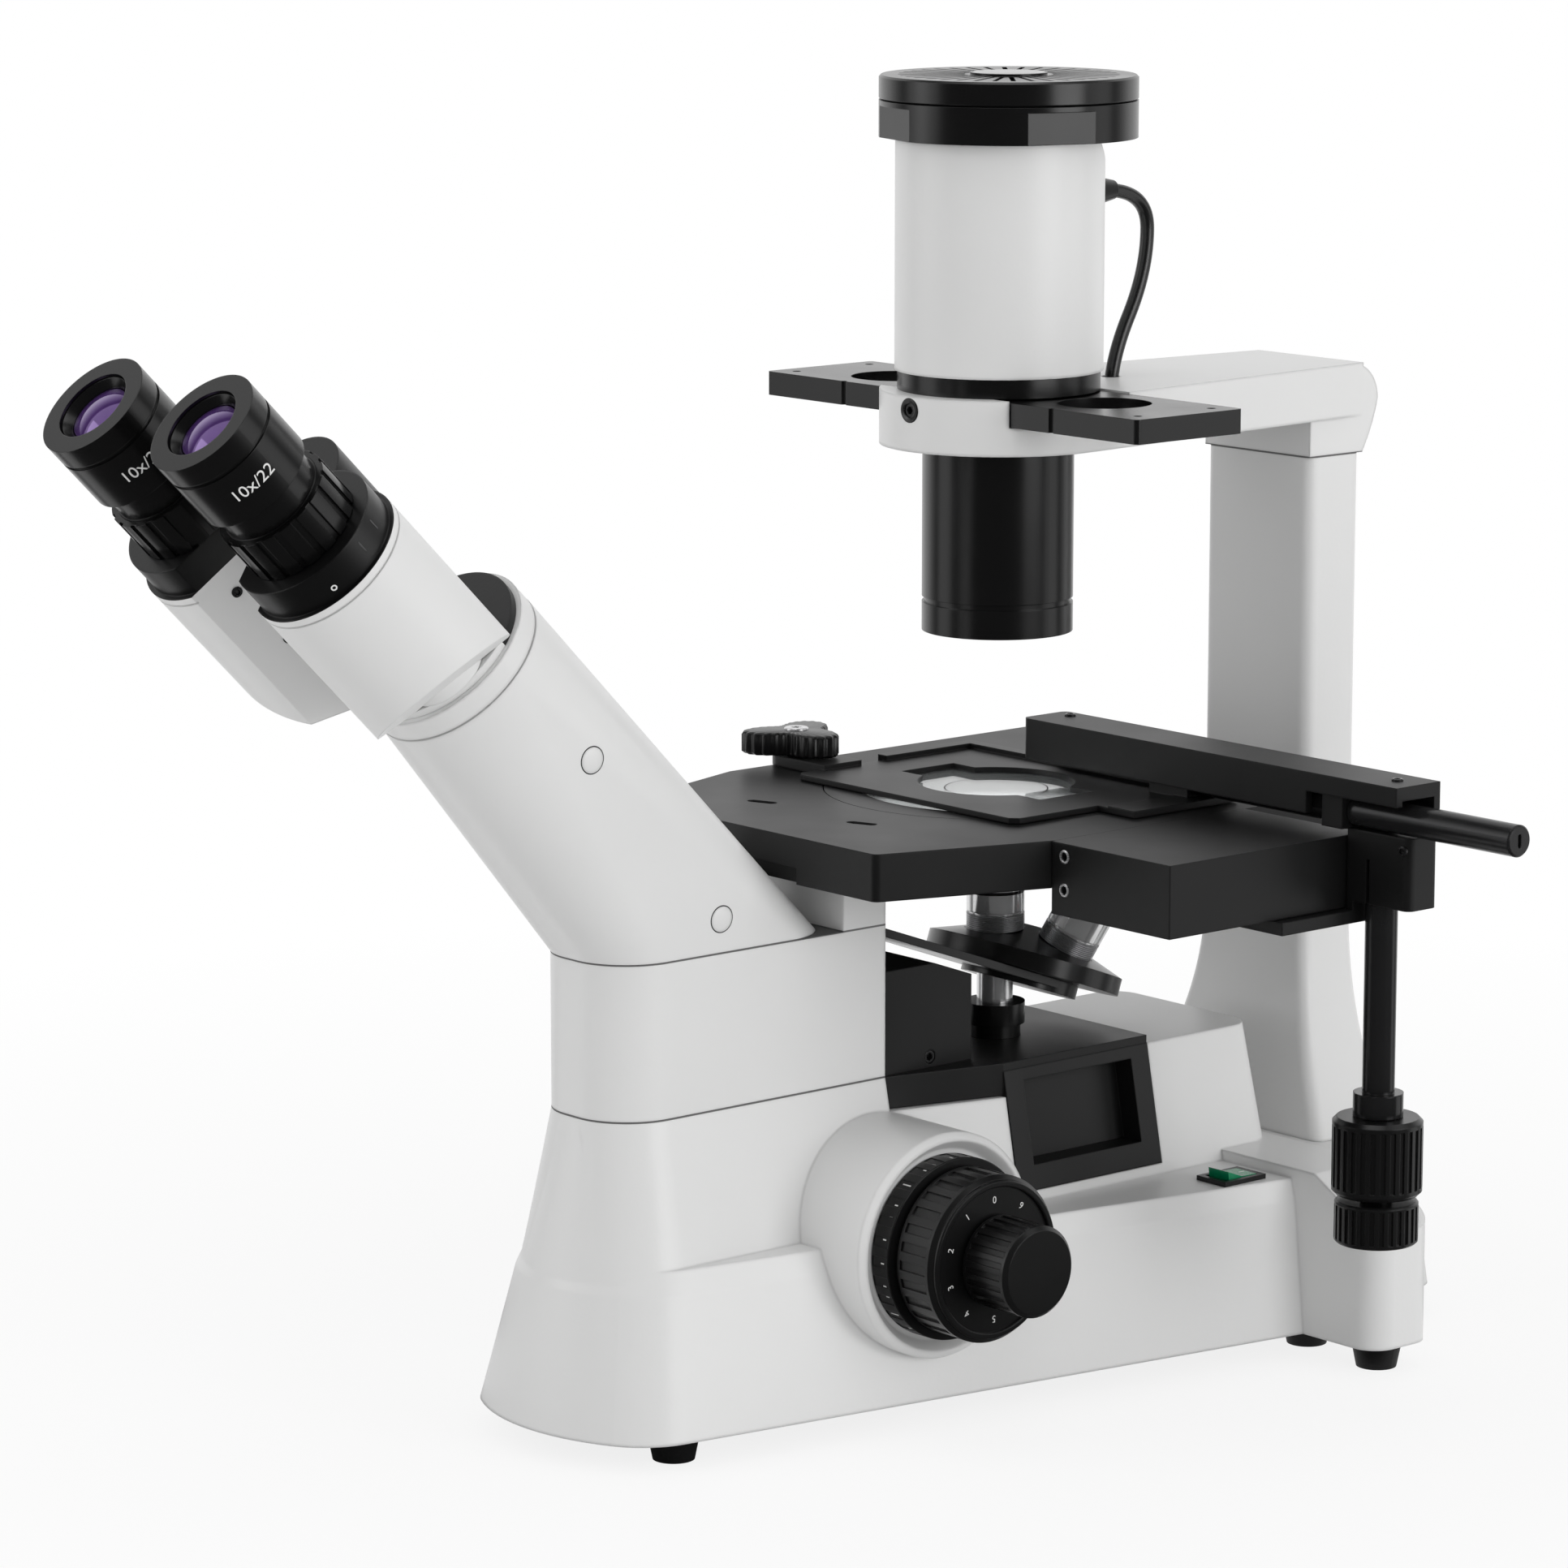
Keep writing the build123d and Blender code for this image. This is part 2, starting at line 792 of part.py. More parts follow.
# Eyepiece cheeks: round housings with a flat towards each other, a slanted heel, a collar on
# top and one flange each on the pin
def cheek(side, own_level, other_level):
    """One cheek, side +1 on the right and -1 on the left."""
    centre = (side * eye_half_distance, -eye_drop)
    facing = 90 + side * (90 + cheek_flat_turn)
    heel_lean = head.x_dir * side * cheek_heel_out + head.y_dir * cheek_heel_down
    heel = Plane(
        origin=head.from_local_coords((*centre, cheek_heel_level)),
        z_dir=heel_lean + head.z_dir * cheek_heel_along,
    )
    with BuildPart() as housing:
        for level, radius, height in (
            (cheek_low, cheek_radius, cheek_length),
            (cheek_top, cap_collar_radius, cap_collar_length),
        ):
            with BuildSketch(head.offset(level)):
                with Locations(Location(centre, facing)):
                    Circle(radius)
                    with Locations((cheek_flat, 0)):
                        Rectangle(
                            radius,
                            2 * radius,
                            align=(Align.MIN, Align.CENTER),
                            mode=Mode.SUBTRACT,
                        )
            extrude(amount=height)
        with BuildSketch(head.offset(cheek_top - cheek_lip)):
            with Locations(centre):
                Circle(2 * cheek_radius)
                Circle(cheek_radius - cheek_lip_groove, mode=Mode.SUBTRACT)
        extrude(amount=cheek_lip_groove, mode=Mode.SUBTRACT)
        with BuildSketch(heel):
            Circle(2 * cheek_radius)
        extrude(amount=2 * cheek_radius, mode=Mode.SUBTRACT)
        with BuildSketch(head.offset(other_level - gap)):
            Circle(pivot_flange_radius + gap)
        extrude(amount=pivot_flange_thickness + 2 * gap, mode=Mode.SUBTRACT)
        with BuildSketch(head.offset(hinge_low - gap)):
            Circle(hinge_radius + gap)
        extrude(amount=hinge_top - hinge_low + 2 * gap, mode=Mode.SUBTRACT)
        with BuildSketch(head.offset(own_level)):
            Circle(pivot_flange_radius)
            with Locations((side * eye_half_distance / 2, -eye_drop / 2)):
                Circle(pivot_flange_radius)
        extrude(amount=pivot_flange_thickness)
        with BuildSketch(head.offset(cheek_top + cap_collar_length)):
            with Locations(centre):
                Circle(spigot_radius)
        extrude(amount=diopter_length + gap)
        with BuildSketch(head.offset(cheek_low + cheek_floor)):
            with Locations(centre):
                Circle(eyepiece_tube_radius + running)
        extrude(amount=2 * cheek_length, mode=Mode.SUBTRACT)
        with BuildSketch(head.offset(collar_length)):
            Circle(pivot_radius + running)
        extrude(amount=cheek_length, mode=Mode.SUBTRACT)
    return housing.part


with BuildPart() as right_cheek:
    add(cheek(1, cheek_low, cheek_low + flange_step))
save(right_cheek.part, "right_cheek")
with BuildPart() as left_cheek:
    add(cheek(-1, cheek_low + flange_step, cheek_low))
save(left_cheek.part, "left_cheek")

# Ribbed dioptre rings, and the wide-field eyepieces with their eye lenses
ring_low = cheek_top + cap_collar_length + gap
shoulder = ring_low + diopter_length
barrel = shoulder + eyepiece_sleeve_length
rim = barrel + eyepiece_length
for side, name in ((1, "right"), (-1, "left")):
    centre = (side * eye_half_distance, -eye_drop)
    with BuildPart() as diopter_ring:
        with BuildSketch(head.offset(ring_low)):
            with Locations(centre):
                Circle(diopter_radius)
                with PolarLocations(diopter_radius, diopter_ribs):
                    Rectangle(2 * rib_depth, rib_width, mode=Mode.SUBTRACT)
                Circle(spigot_radius + running, mode=Mode.SUBTRACT)
        extrude(amount=diopter_length - gap)
    save(diopter_ring.part, f"{name}_diopter_ring")

    with BuildPart() as eyepiece:
        for low, high, radius in (
            (ring_low, shoulder, eyepiece_tube_radius),
            (shoulder, barrel, eyepiece_sleeve_radius),
            (barrel, rim, eyepiece_radius),
        ):
            with BuildSketch(head.offset(low)):
                with Locations(centre):
                    Circle(radius)
            extrude(amount=high - low)
        with BuildSketch(head.offset(rim - eyepiece_groove_down)):
            with Locations(centre):
                Circle(2 * eyepiece_radius)
                Circle(eyepiece_radius - eyepiece_groove_depth, mode=Mode.SUBTRACT)
        extrude(amount=-eyepiece_groove_width, mode=Mode.SUBTRACT)
        for radius, depth in (
            (eye_cup_radius, eye_cup_depth),
            (eye_lens_radius, eye_cup_depth + eye_lens_thickness),
            (eye_lens_radius - eye_lens_ledge, 2 * cheek_length),
        ):
            with BuildSketch(head.offset(rim)):
                with Locations(centre):
                    Circle(radius)
            extrude(amount=-depth, mode=Mode.SUBTRACT)
    save(eyepiece.part, f"{name}_eyepiece")

    with BuildPart() as eye_lens:
        with BuildSketch(head.offset(rim - eye_cup_depth - eye_lens_thickness)):
            with Locations(centre):
                Circle(eye_lens_radius)
        extrude(amount=eye_lens_thickness)
    save(eye_lens.part, f"{name}_eye_lens")

# Pillar: a flat column that flares into a broad foot, with a ledge for the stage's rear edge
pillar_rear_y = pillar_front_y + pillar_depth
with BuildPart() as pillar:
    with BuildSketch(Plane.XZ.offset(-pillar_front_y + flare_front)):
        with BuildLine():
            foot_line = Line((0, ledge_z), (flare_half, ledge_z))
            flare = TangentArc((pillar_half, flare_top_z), (flare_half, ledge_z), tangent=(0, -1))
            side_line = Line(flare @ 0, (pillar_half, arm_seam_z))
            top_line = Line(side_line @ 1, (0, arm_seam_z))
            Line(top_line @ 1, foot_line @ 0)
        make_face()
        mirror(about=Plane.YZ)
    extrude(amount=-flare_front - pillar_depth)
    with BuildSketch(Plane.YZ.offset(-flare_half)):
        with BuildLine():
            slope = TangentArc(
                (pillar_front_y, flare_top_z),
                (pillar_front_y - flare_front, ledge_z),
                tangent=(0, -1),
            )
            Polyline(
                slope @ 1,
                (pillar_front_y - 2 * flare_front, ledge_z),
                (pillar_front_y - 2 * flare_front, arm_seam_z),
                (pillar_front_y, arm_seam_z),
                slope @ 0,
            )
        make_face()
    extrude(amount=2 * flare_half, mode=Mode.SUBTRACT)
    uprights = pillar.edges().filter_by(Axis.Z).filter_by(lambda e: e.length > neck_height)
    fillet(uprights, pillar_round)
    with BuildSketch(Plane.XY.offset(stage_low_z)):
        with Locations((0, pillar_front_y)):
            Rectangle(2 * (pillar_half - wall), 2 * stage_ledge)
    extrude(amount=-stage_ledge)
save(pillar.part, "pillar")

# Lamp arm: round nose over the optical axis, tapering back to the pillar and rounded behind.
# A cross slot open at the top guides the phase slider.
slider_low_z = arm_top_z - slider_thickness - 2 * gap
arm_rear_y = pillar_rear_y + arm_tail
with BuildPart() as lamp_arm:
    with BuildSketch(Plane.XY.offset(arm_low_z)):
        Circle(arm_nose_radius)
        with Locations((0, pillar_rear_y)):
            Rectangle(2 * pillar_half, wall, align=(Align.CENTER, Align.MAX))
        make_hull()
    extrude(amount=arm_thickness)
    with BuildSketch(Plane.YZ.offset(-pillar_half)):
        with BuildLine():
            tail = TangentArc(
                (pillar_rear_y, arm_seam_z),
                (arm_rear_y, arm_top_z - arm_tail_drop),
                tangent=(arm_tail_lean, 1),
            )
            crown = TangentArc(tail @ 1, (arm_rear_y - arm_tail_drop, arm_top_z), tangent=(0, 1))
            Polyline(
                crown @ 1,
                (pillar_front_y, arm_top_z),
                (pillar_front_y, arm_seam_z),
                tail @ 0,
            )
        make_face()
    extrude(amount=2 * pillar_half)
    with BuildSketch(Plane.XY.offset(slider_low_z - gap)):
        Rectangle(4 * arm_nose_radius, slider_width + 2 * slide_gap)
    extrude(amount=arm_thickness, mode=Mode.SUBTRACT)
    with BuildSketch(Plane.XY.offset(arm_low_z)):
        Circle(slider_port_radius + wall)
    extrude(amount=arm_thickness, mode=Mode.SUBTRACT)
    with BuildSketch(Plane.XY.offset(arm_top_z)):
        with Locations((0, lead_foot_y)):
            Circle(lead_radius + 2 * slide_gap)
    extrude(amount=-lead_hole_depth, mode=Mode.SUBTRACT)
    with BuildSketch(Plane.XZ.offset(arm_nose_radius)):
        with Locations((0, arm_screw_z)):
            Circle(screw_radius + running)
    extrude(amount=-screw_length - 2 * wall, mode=Mode.SUBTRACT)
save(lamp_arm.part, "lamp_arm")

# Phase slider: a long bar with three ports, click notches in its front edge and end holes
with BuildPart() as phase_slider:
    with BuildSketch(Plane.XY.offset(slider_low_z)):
        RectangleRounded(slider_length, slider_width, slider_corner)
        with GridLocations(slider_stop_pitch, 0, 3, 1):
            Circle(slider_port_radius, mode=Mode.SUBTRACT)
        with GridLocations(slider_length - slider_hole_inset, slider_width - slider_hole_inset, 2, 2):
            Circle(slider_hole_radius, mode=Mode.SUBTRACT)
        with Locations((0, -slider_width / 2)):
            with GridLocations(slider_stop_pitch, 0, 3, 1):
                Circle(slider_notch_radius, mode=Mode.SUBTRACT)
    extrude(amount=slider_thickness)
save(phase_slider.part, "phase_slider")

# Condenser barrel with a groove near its mouth and a lens in its end
condenser_low_z = arm_low_z - condenser_length
with BuildPart() as condenser_barrel:
    with Locations((0, 0, condenser_low_z)):
        Cylinder(condenser_radius, condenser_length, align=on_floor)
        Cylinder(condenser_radius - 2 * wall, condenser_length, align=on_floor, mode=Mode.SUBTRACT)
    with Locations((0, 0, condenser_low_z + condenser_lip)):
        Cylinder(condenser_radius - wall, condenser_length, align=on_floor, mode=Mode.SUBTRACT)
    with BuildSketch(Plane.XY.offset(condenser_low_z + condenser_groove_up)):
        Circle(2 * condenser_radius)
        Circle(condenser_radius - condenser_groove, mode=Mode.SUBTRACT)
    extrude(amount=condenser_lip, mode=Mode.SUBTRACT)
save(condenser_barrel.part, "condenser_barrel")

lens_seat_z = condenser_low_z + condenser_lip
with BuildPart() as condenser_lens:
    add(
        plano_convex(
            condenser_radius - wall - running,
            condenser_lens_edge,
            condenser_lens_height,
            lens_seat_z,
        )
    )
save(condenser_lens.part, "condenser_lens")

# Lamp collar, lamp body with a slanted back, cap ring and slotted lid
with BuildPart() as lamp_collar:
    with BuildSketch(Plane.XY.offset(arm_top_z)):
        Circle(collar_radius)
        Circle(lamp_port_radius, mode=Mode.SUBTRACT)
    extrude(amount=lamp_collar_height)
save(lamp_collar.part, "lamp_collar")

lamp_roof_z = lamp_top_z - lamp_roof
gland_z = lamp_top_z - gland_drop
with BuildPart() as lamp_body:
    with BuildSketch(Plane.XY.offset(lamp_low_z)):
        Circle(lamp_body_radius)
    extrude(amount=lamp_body_height)
    with BuildSketch(Plane.XY.offset(lamp_low_z)):
        Circle(lamp_port_radius)
    extrude(amount=lamp_body_height, mode=Mode.SUBTRACT)
    with BuildSketch(Plane.XY.offset(lamp_low_z + wall)):
        Circle(lamp_cavity_radius)
    extrude(amount=lamp_roof_z - lamp_low_z - wall, mode=Mode.SUBTRACT)
    with BuildSketch(Plane.YZ.offset(-lamp_body_radius)):
        with BuildLine():
            Polyline(
                (lamp_body_radius + lamp_slant_out, lamp_top_z - lamp_slant),
                (lamp_body_radius + lamp_slant_out, lamp_top_z),
                (lamp_body_radius - lamp_slant, lamp_top_z),
                close=True,
            )
        make_face()
    extrude(amount=2 * lamp_body_radius, mode=Mode.SUBTRACT)
    with BuildSketch(Plane.XZ.offset(-lamp_body_radius - wall)):
        with Locations((0, gland_z)):
            Circle(gland_radius + running)
    extrude(amount=lamp_body_radius - lamp_cavity_radius + 2 * wall, mode=Mode.SUBTRACT)
save(lamp_body.part, "lamp_body")

with BuildPart() as cap_ring:
    with Locations((0, cap_offset_y, lamp_top_z)):
        Cylinder(cap_radius, cap_ring_height, align=on_floor)
        with Locations((0, 0, cap_floor)):
            Cylinder(cap_radius - cap_wall, cap_ring_height, align=on_floor, mode=Mode.SUBTRACT)
        with PolarLocations(cap_radius - cap_flat, cap_flat_count, start_angle=cap_flat_turn):
            Box(
                cap_radius,
                cap_radius,
                cap_ring_height - cap_flat,
                align=(Align.MIN, Align.CENTER, Align.MIN),
                mode=Mode.SUBTRACT,
            )
    with Locations((0, 0, lamp_top_z)):
        Cylinder(lamp_port_radius, cap_ring_height, align=on_floor, mode=Mode.SUBTRACT)
save(cap_ring.part, "cap_ring")

with BuildPart() as vent_lid:
    with Locations((0, cap_offset_y, lid_z)):
        Cylinder(cap_radius, lid_height, align=on_floor)
        chamfer(vent_lid.edges().filter_by(GeomType.CIRCLE), lid_hub_rise)
        Cylinder(cap_radius - cap_wall, lid_height - lid_roof, align=on_floor, mode=Mode.SUBTRACT)
        with Locations((0, 0, lid_height)):
            with PolarLocations((vent_inner + vent_outer) / 2, vent_count):
                Box(vent_outer - vent_inner, vent_width, 2 * lid_height, mode=Mode.SUBTRACT)
            Cylinder(lid_hub_radius, lid_hub_rise, align=on_floor)
save(vent_lid.part, "vent_lid")

# Lamp holder under the roof, the lamp in it, and the collector lens on the floor below
with BuildPart() as lamp_holder:
    with Locations((0, 0, lamp_roof_z)):
        Box(lamp_holder_bar, lamp_holder_width, lamp_holder_thickness, align=under_floor)
        Cylinder(lamp_holder_radius, lamp_holder_length, align=under_floor)
    with Locations((0, 0, lamp_roof_z - lamp_holder_length)):
        Cylinder(bulb_base_radius + running, bulb_base_length, align=on_floor, mode=Mode.SUBTRACT)
save(lamp_holder.part, "lamp_holder")

bulb_top_z = lamp_roof_z - lamp_holder_length
with BuildPart() as lamp_bulb:
    with Locations((0, 0, bulb_top_z)):
        Cylinder(bulb_base_radius, bulb_base_length - gap, align=on_floor)
        Cylinder(bulb_radius, bulb_length - bulb_radius, align=under_floor)
    with Locations((0, 0, bulb_top_z - bulb_length + bulb_radius)):
        Sphere(bulb_radius)
    with BuildSketch(Plane.XY.offset(bulb_top_z)):
        Circle(2 * bulb_radius)
        Circle(bulb_base_radius, mode=Mode.SUBTRACT)
    extrude(amount=-gap, mode=Mode.SUBTRACT)
save(lamp_bulb.part, "lamp_bulb")

with BuildPart() as collector_lens:
    add(plano_convex(collector_radius, collector_edge, collector_height, lamp_low_z + wall))
save(collector_lens.part, "collector_lens")

# Lead from the lamp house down to the arm, with its strain relief
with BuildPart() as lead_gland:
    with BuildSketch(Plane.YZ):
        with BuildLine():
            Polyline(
                (lamp_cavity_radius + wall, gland_z),
                (lamp_cavity_radius + wall, gland_z + gland_radius),
                (gland_flange_y, gland_z + gland_radius),
                (gland_flange_y, gland_z + gland_flange_radius),
                (gland_flange_end_y, gland_z + gland_flange_radius),
                (gland_end_y, gland_z + gland_tip_radius),
                (gland_end_y, gland_z),
                close=True,
            )
        make_face()
    revolve(axis=Axis((0, 0, gland_z), (0, 1, 0)))
    with BuildSketch(Plane.XZ.offset(-lead_start_y)):
        with Locations((0, gland_z)):
            Circle(lead_radius + running)
    extrude(amount=-lead_start_y, mode=Mode.SUBTRACT)
save(lead_gland.part, "lead_gland")

lead_route = [
    Vector(0, lead_start_y, gland_z),
    Vector(0, lead_out_y, gland_z),
    Vector(0, lead_out_y, lead_knee_z),
    Vector(0, lead_foot_y, lead_foot_z),
    Vector(0, lead_foot_y, lead_end_z),
]
lead_radii = []
for before, corner, after in zip(lead_route, lead_route[1:], lead_route[2:]):
    half_turn = radians((corner - before).get_angle(after - corner)) / 2
    shorter = min((corner - before).length, (after - corner).length)
    lead_radii.append(lead_bend_share * shorter / tan(half_turn))
with BuildPart() as lamp_lead:
    with BuildLine():
        lead_path = FilletPolyline(*lead_route, radius=lead_radii)
    with BuildSketch(Plane(origin=lead_path @ 0, z_dir=lead_path % 0)):
        Circle(lead_radius)
    sweep(path=lead_path)
save(lamp_lead.part, "lamp_lead")

# Stage plate on the neck's post and the pillar's ledge, with a glass disc in its middle
with BuildPart() as stage_plate:
    with BuildSketch(Plane.XY.offset(stage_low_z)):
        with BuildLine():
            Polyline(
                (0, stage_front_y),
                (stage_front_half, stage_front_y),
                (stage_half, stage_kink_y),
                (stage_half, stage_rear_y),
                (0, stage_rear_y),
                close=True,
            )
        make_face()
        mirror(about=Plane.YZ)
    extrude(amount=stage_thickness)
    fillet(stage_plate.edges().filter_by(Axis.Z).group_by(Axis.Y)[0], wall)
    with Locations((0, 0, stage_top_z)):
        Cylinder(insert_radius + slide_gap, insert_thickness, align=under_floor, mode=Mode.SUBTRACT)
        Cylinder(insert_radius - insert_ledge, 2 * stage_thickness, mode=Mode.SUBTRACT)
    with Locations((0, 0, stage_low_z)):
        Cylinder(stage_pocket_radius, stage_pocket_depth, align=on_floor, mode=Mode.SUBTRACT)
    with BuildSketch(Plane.XY.offset(stage_top_z)):
        with Locations(
            Location((leaf_left_x, leaf_y), leaf_turn),
            Location((leaf_right_x, leaf_y), leaf_turn),
        ):
            SlotOverall(leaf_length, leaf_width)
    extrude(amount=-leaf_depth, mode=Mode.SUBTRACT)
    with Locations((0, stage_front_y, stage_low_z)):
        Box(2 * neck_half, tube_relief, 2 * tube_relief, mode=Mode.SUBTRACT)
save(stage_plate.part, "stage_plate")

with BuildPart() as stage_insert:
    with Locations((0, 0, stage_top_z)):
        Cylinder(insert_radius, insert_thickness, align=under_floor)
save(stage_insert.part, "stage_insert")

# Drive housing bolted to the stage's right side, with a guide groove in its underside
drive_low_z = stage_top_z - drive_height
drive_screw_z = drive_low_z + drive_screw_low
drive_mid_x = (stage_half + drive_right_x) / 2
with BuildPart() as drive_housing:
    with BuildSketch(Plane.XY.offset(drive_low_z)):
        with Locations((drive_mid_x, (drive_front_y + drive_rear_y) / 2)):
            Rectangle(drive_right_x - stage_half, drive_rear_y - drive_front_y)
    extrude(amount=drive_height)
    chamfer(drive_housing.edges().filter_by(Axis.Z).group_by(Axis.X)[-1], running * wall)
    with BuildSketch(Plane.XY.offset(drive_low_z)):
        with Locations((groove_x, drive_front_y + drive_wall)):
            Rectangle(groove_width, drive_rear_y - drive_front_y, align=(Align.MIN, Align.MIN))
    extrude(amount=groove_depth, mode=Mode.SUBTRACT)
    with BuildSketch(Plane.XZ.offset(-drive_front_y)):
        with Locations((drive_screw_x, drive_screw_z)):
            with Locations((0, 0), (0, drive_screw_pitch)):
                Circle(screw_radius + running)
    extrude(amount=-screw_length - wall, mode=Mode.SUBTRACT)
save(drive_housing.part, "drive_housing")

# Cross rail: a channel open below, with a bushing for the rod and a window beside it
rail_rear_y = rail_front_y + rail_depth
rail_low_z = rail_top_z - rail_height
with BuildPart() as x_rail:
    with Locations((rail_left_x, rail_front_y, rail_low_z)):
        Box(rail_right_x - rail_left_x, rail_depth, rail_height, align=corner_low)
    fillet(x_rail.edges().filter_by(Axis.Z).group_by(Axis.X)[0], rail_wall)
    with Locations((rail_left_x + rail_wall, rail_front_y + rail_wall, rail_low_z)):
        Box(
            rail_right_x - rail_left_x,
            rail_depth - 2 * rail_wall,
            rail_height - rail_roof,
            align=corner_low,
            mode=Mode.SUBTRACT,
        )
    with Locations((rail_window_x, rail_front_y, rail_low_z)):
        Box(rail_right_x, rail_wall, rail_window_height, align=corner_low, mode=Mode.SUBTRACT)
    with Locations((bushing_x, rail_front_y + rail_wall, end_block_top_z)):
        Box(
            bushing_length,
            rail_depth - 2 * rail_wall,
            rail_top_z - rail_roof - end_block_top_z,
            align=corner_low,
        )
    with BuildSketch(Plane.YZ.offset(bushing_x)):
        with Locations((rod_y, rod_z)):
            Circle(rod_radius + running)
    extrude(amount=bushing_length, mode=Mode.SUBTRACT)
save(x_rail.part, "x_rail")

# Carriage: the end block under the rail, a link below the housing and a tongue in its groove
link_top_z = drive_low_z - gap
with BuildPart() as stage_carriage:
    with Locations((end_block_left_x, end_block_front_y, end_block_low_z)):
        Box(
            rail_right_x - end_block_left_x,
            rail_rear_y - end_block_front_y,
            end_block_top_z - end_block_low_z,
            align=corner_low,
        )
    fillet(stage_carriage.edges().filter_by(Axis.Z).group_by(Axis.X)[-1], rail_wall)
    with Locations((end_block_left_x, rail_rear_y - rail_wall, end_block_low_z)):
        Box(shaft_x - end_block_left_x, rail_wall, rail_low_z - end_block_low_z, align=corner_low)
    with Locations((end_block_left_x, end_block_front_y, link_top_z - link_thickness)):
        Box(
            wall,
            rail_rear_y - end_block_front_y,
            end_block_low_z - link_top_z + link_thickness,
            align=corner_low,
        )
    with Locations((link_left_x, link_front_y, link_top_z - link_thickness)):
        Box(
            end_block_left_x + wall - link_left_x,
            rail_rear_y - link_front_y,
            link_thickness,
            align=corner_low,
        )
    with Locations((groove_x + slide_gap, link_front_y, link_top_z)):
        Box(
            groove_width - 2 * slide_gap,
            rail_rear_y - link_front_y,
            groove_depth,
            align=corner_low,
        )
    with Locations((shaft_x, shaft_y, end_block_low_z)):
        Cylinder(shaft_radius + running, shaft_grip + gap, align=on_floor, mode=Mode.SUBTRACT)
    with Locations((shaft_x, end_block_front_y, end_block_low_z)):
        Box(
            screw_socket_radius,
            shaft_y - end_block_front_y,
            shaft_grip,
            align=(Align.CENTER, Align.MIN, Align.MIN),
            mode=Mode.SUBTRACT,
        )
save(stage_carriage.part, "stage_carriage")

# Drop shaft with a collar, and the two coaxial knobs that turn on it
shaft_top_z = end_block_low_z + shaft_grip
upper_knob_top_z = upper_knob_low_z + upper_knob_height
with BuildPart() as drop_shaft:
    with Locations((shaft_x, shaft_y, shaft_low_z)):
        Cylinder(shaft_radius, shaft_top_z - shaft_low_z, align=on_floor)
    with Locations((shaft_x, shaft_y, upper_knob_top_z + gap)):
        Cylinder(shaft_collar_radius, shaft_collar_height, align=on_floor)
save(drop_shaft.part, "drop_shaft")

with BuildPart() as y_knob:
    with Locations((shaft_x, shaft_y, upper_knob_low_z)):
        add(
            fluted(
                upper_knob_radius,
                upper_knob_height,
                shaft_radius + running,
                knob_flutes,
                flute_depth,
                wall,
            )
        )
save(y_knob.part, "y_knob")

with BuildPart() as x_knob:
    with Locations((shaft_x, shaft_y, lower_knob_low_z)):
        add(fluted(lower_knob_radius, lower_knob_height, 0, knob_flutes, flute_depth, wall / 2))
    with Locations((shaft_x, shaft_y, shaft_low_z - gap)):
        Cylinder(shaft_radius + running, lower_knob_height, align=on_floor, mode=Mode.SUBTRACT)
save(x_knob.part, "x_knob")

# Guide rod with a screwdriver slot in its outer end
with BuildPart() as x_guide_rod:
    with BuildSketch(Plane.YZ.offset(rod_left_x)):
        with Locations((rod_y, rod_z)):
            Circle(rod_radius)
    extrude(amount=rod_right_x - rod_left_x)
    chamfer(x_guide_rod.edges().filter_by(GeomType.CIRCLE).group_by(Axis.X)[-1], rail_wall / rod_slot)
    with BuildSketch(Plane.YZ.offset(rod_right_x)):
        with Locations((rod_y, rod_z)):
            SlotOverall(rod_slot, screw_socket_radius, rotation=90)
    extrude(amount=-screw_socket_depth, mode=Mode.SUBTRACT)
save(x_guide_rod.part, "x_guide_rod")

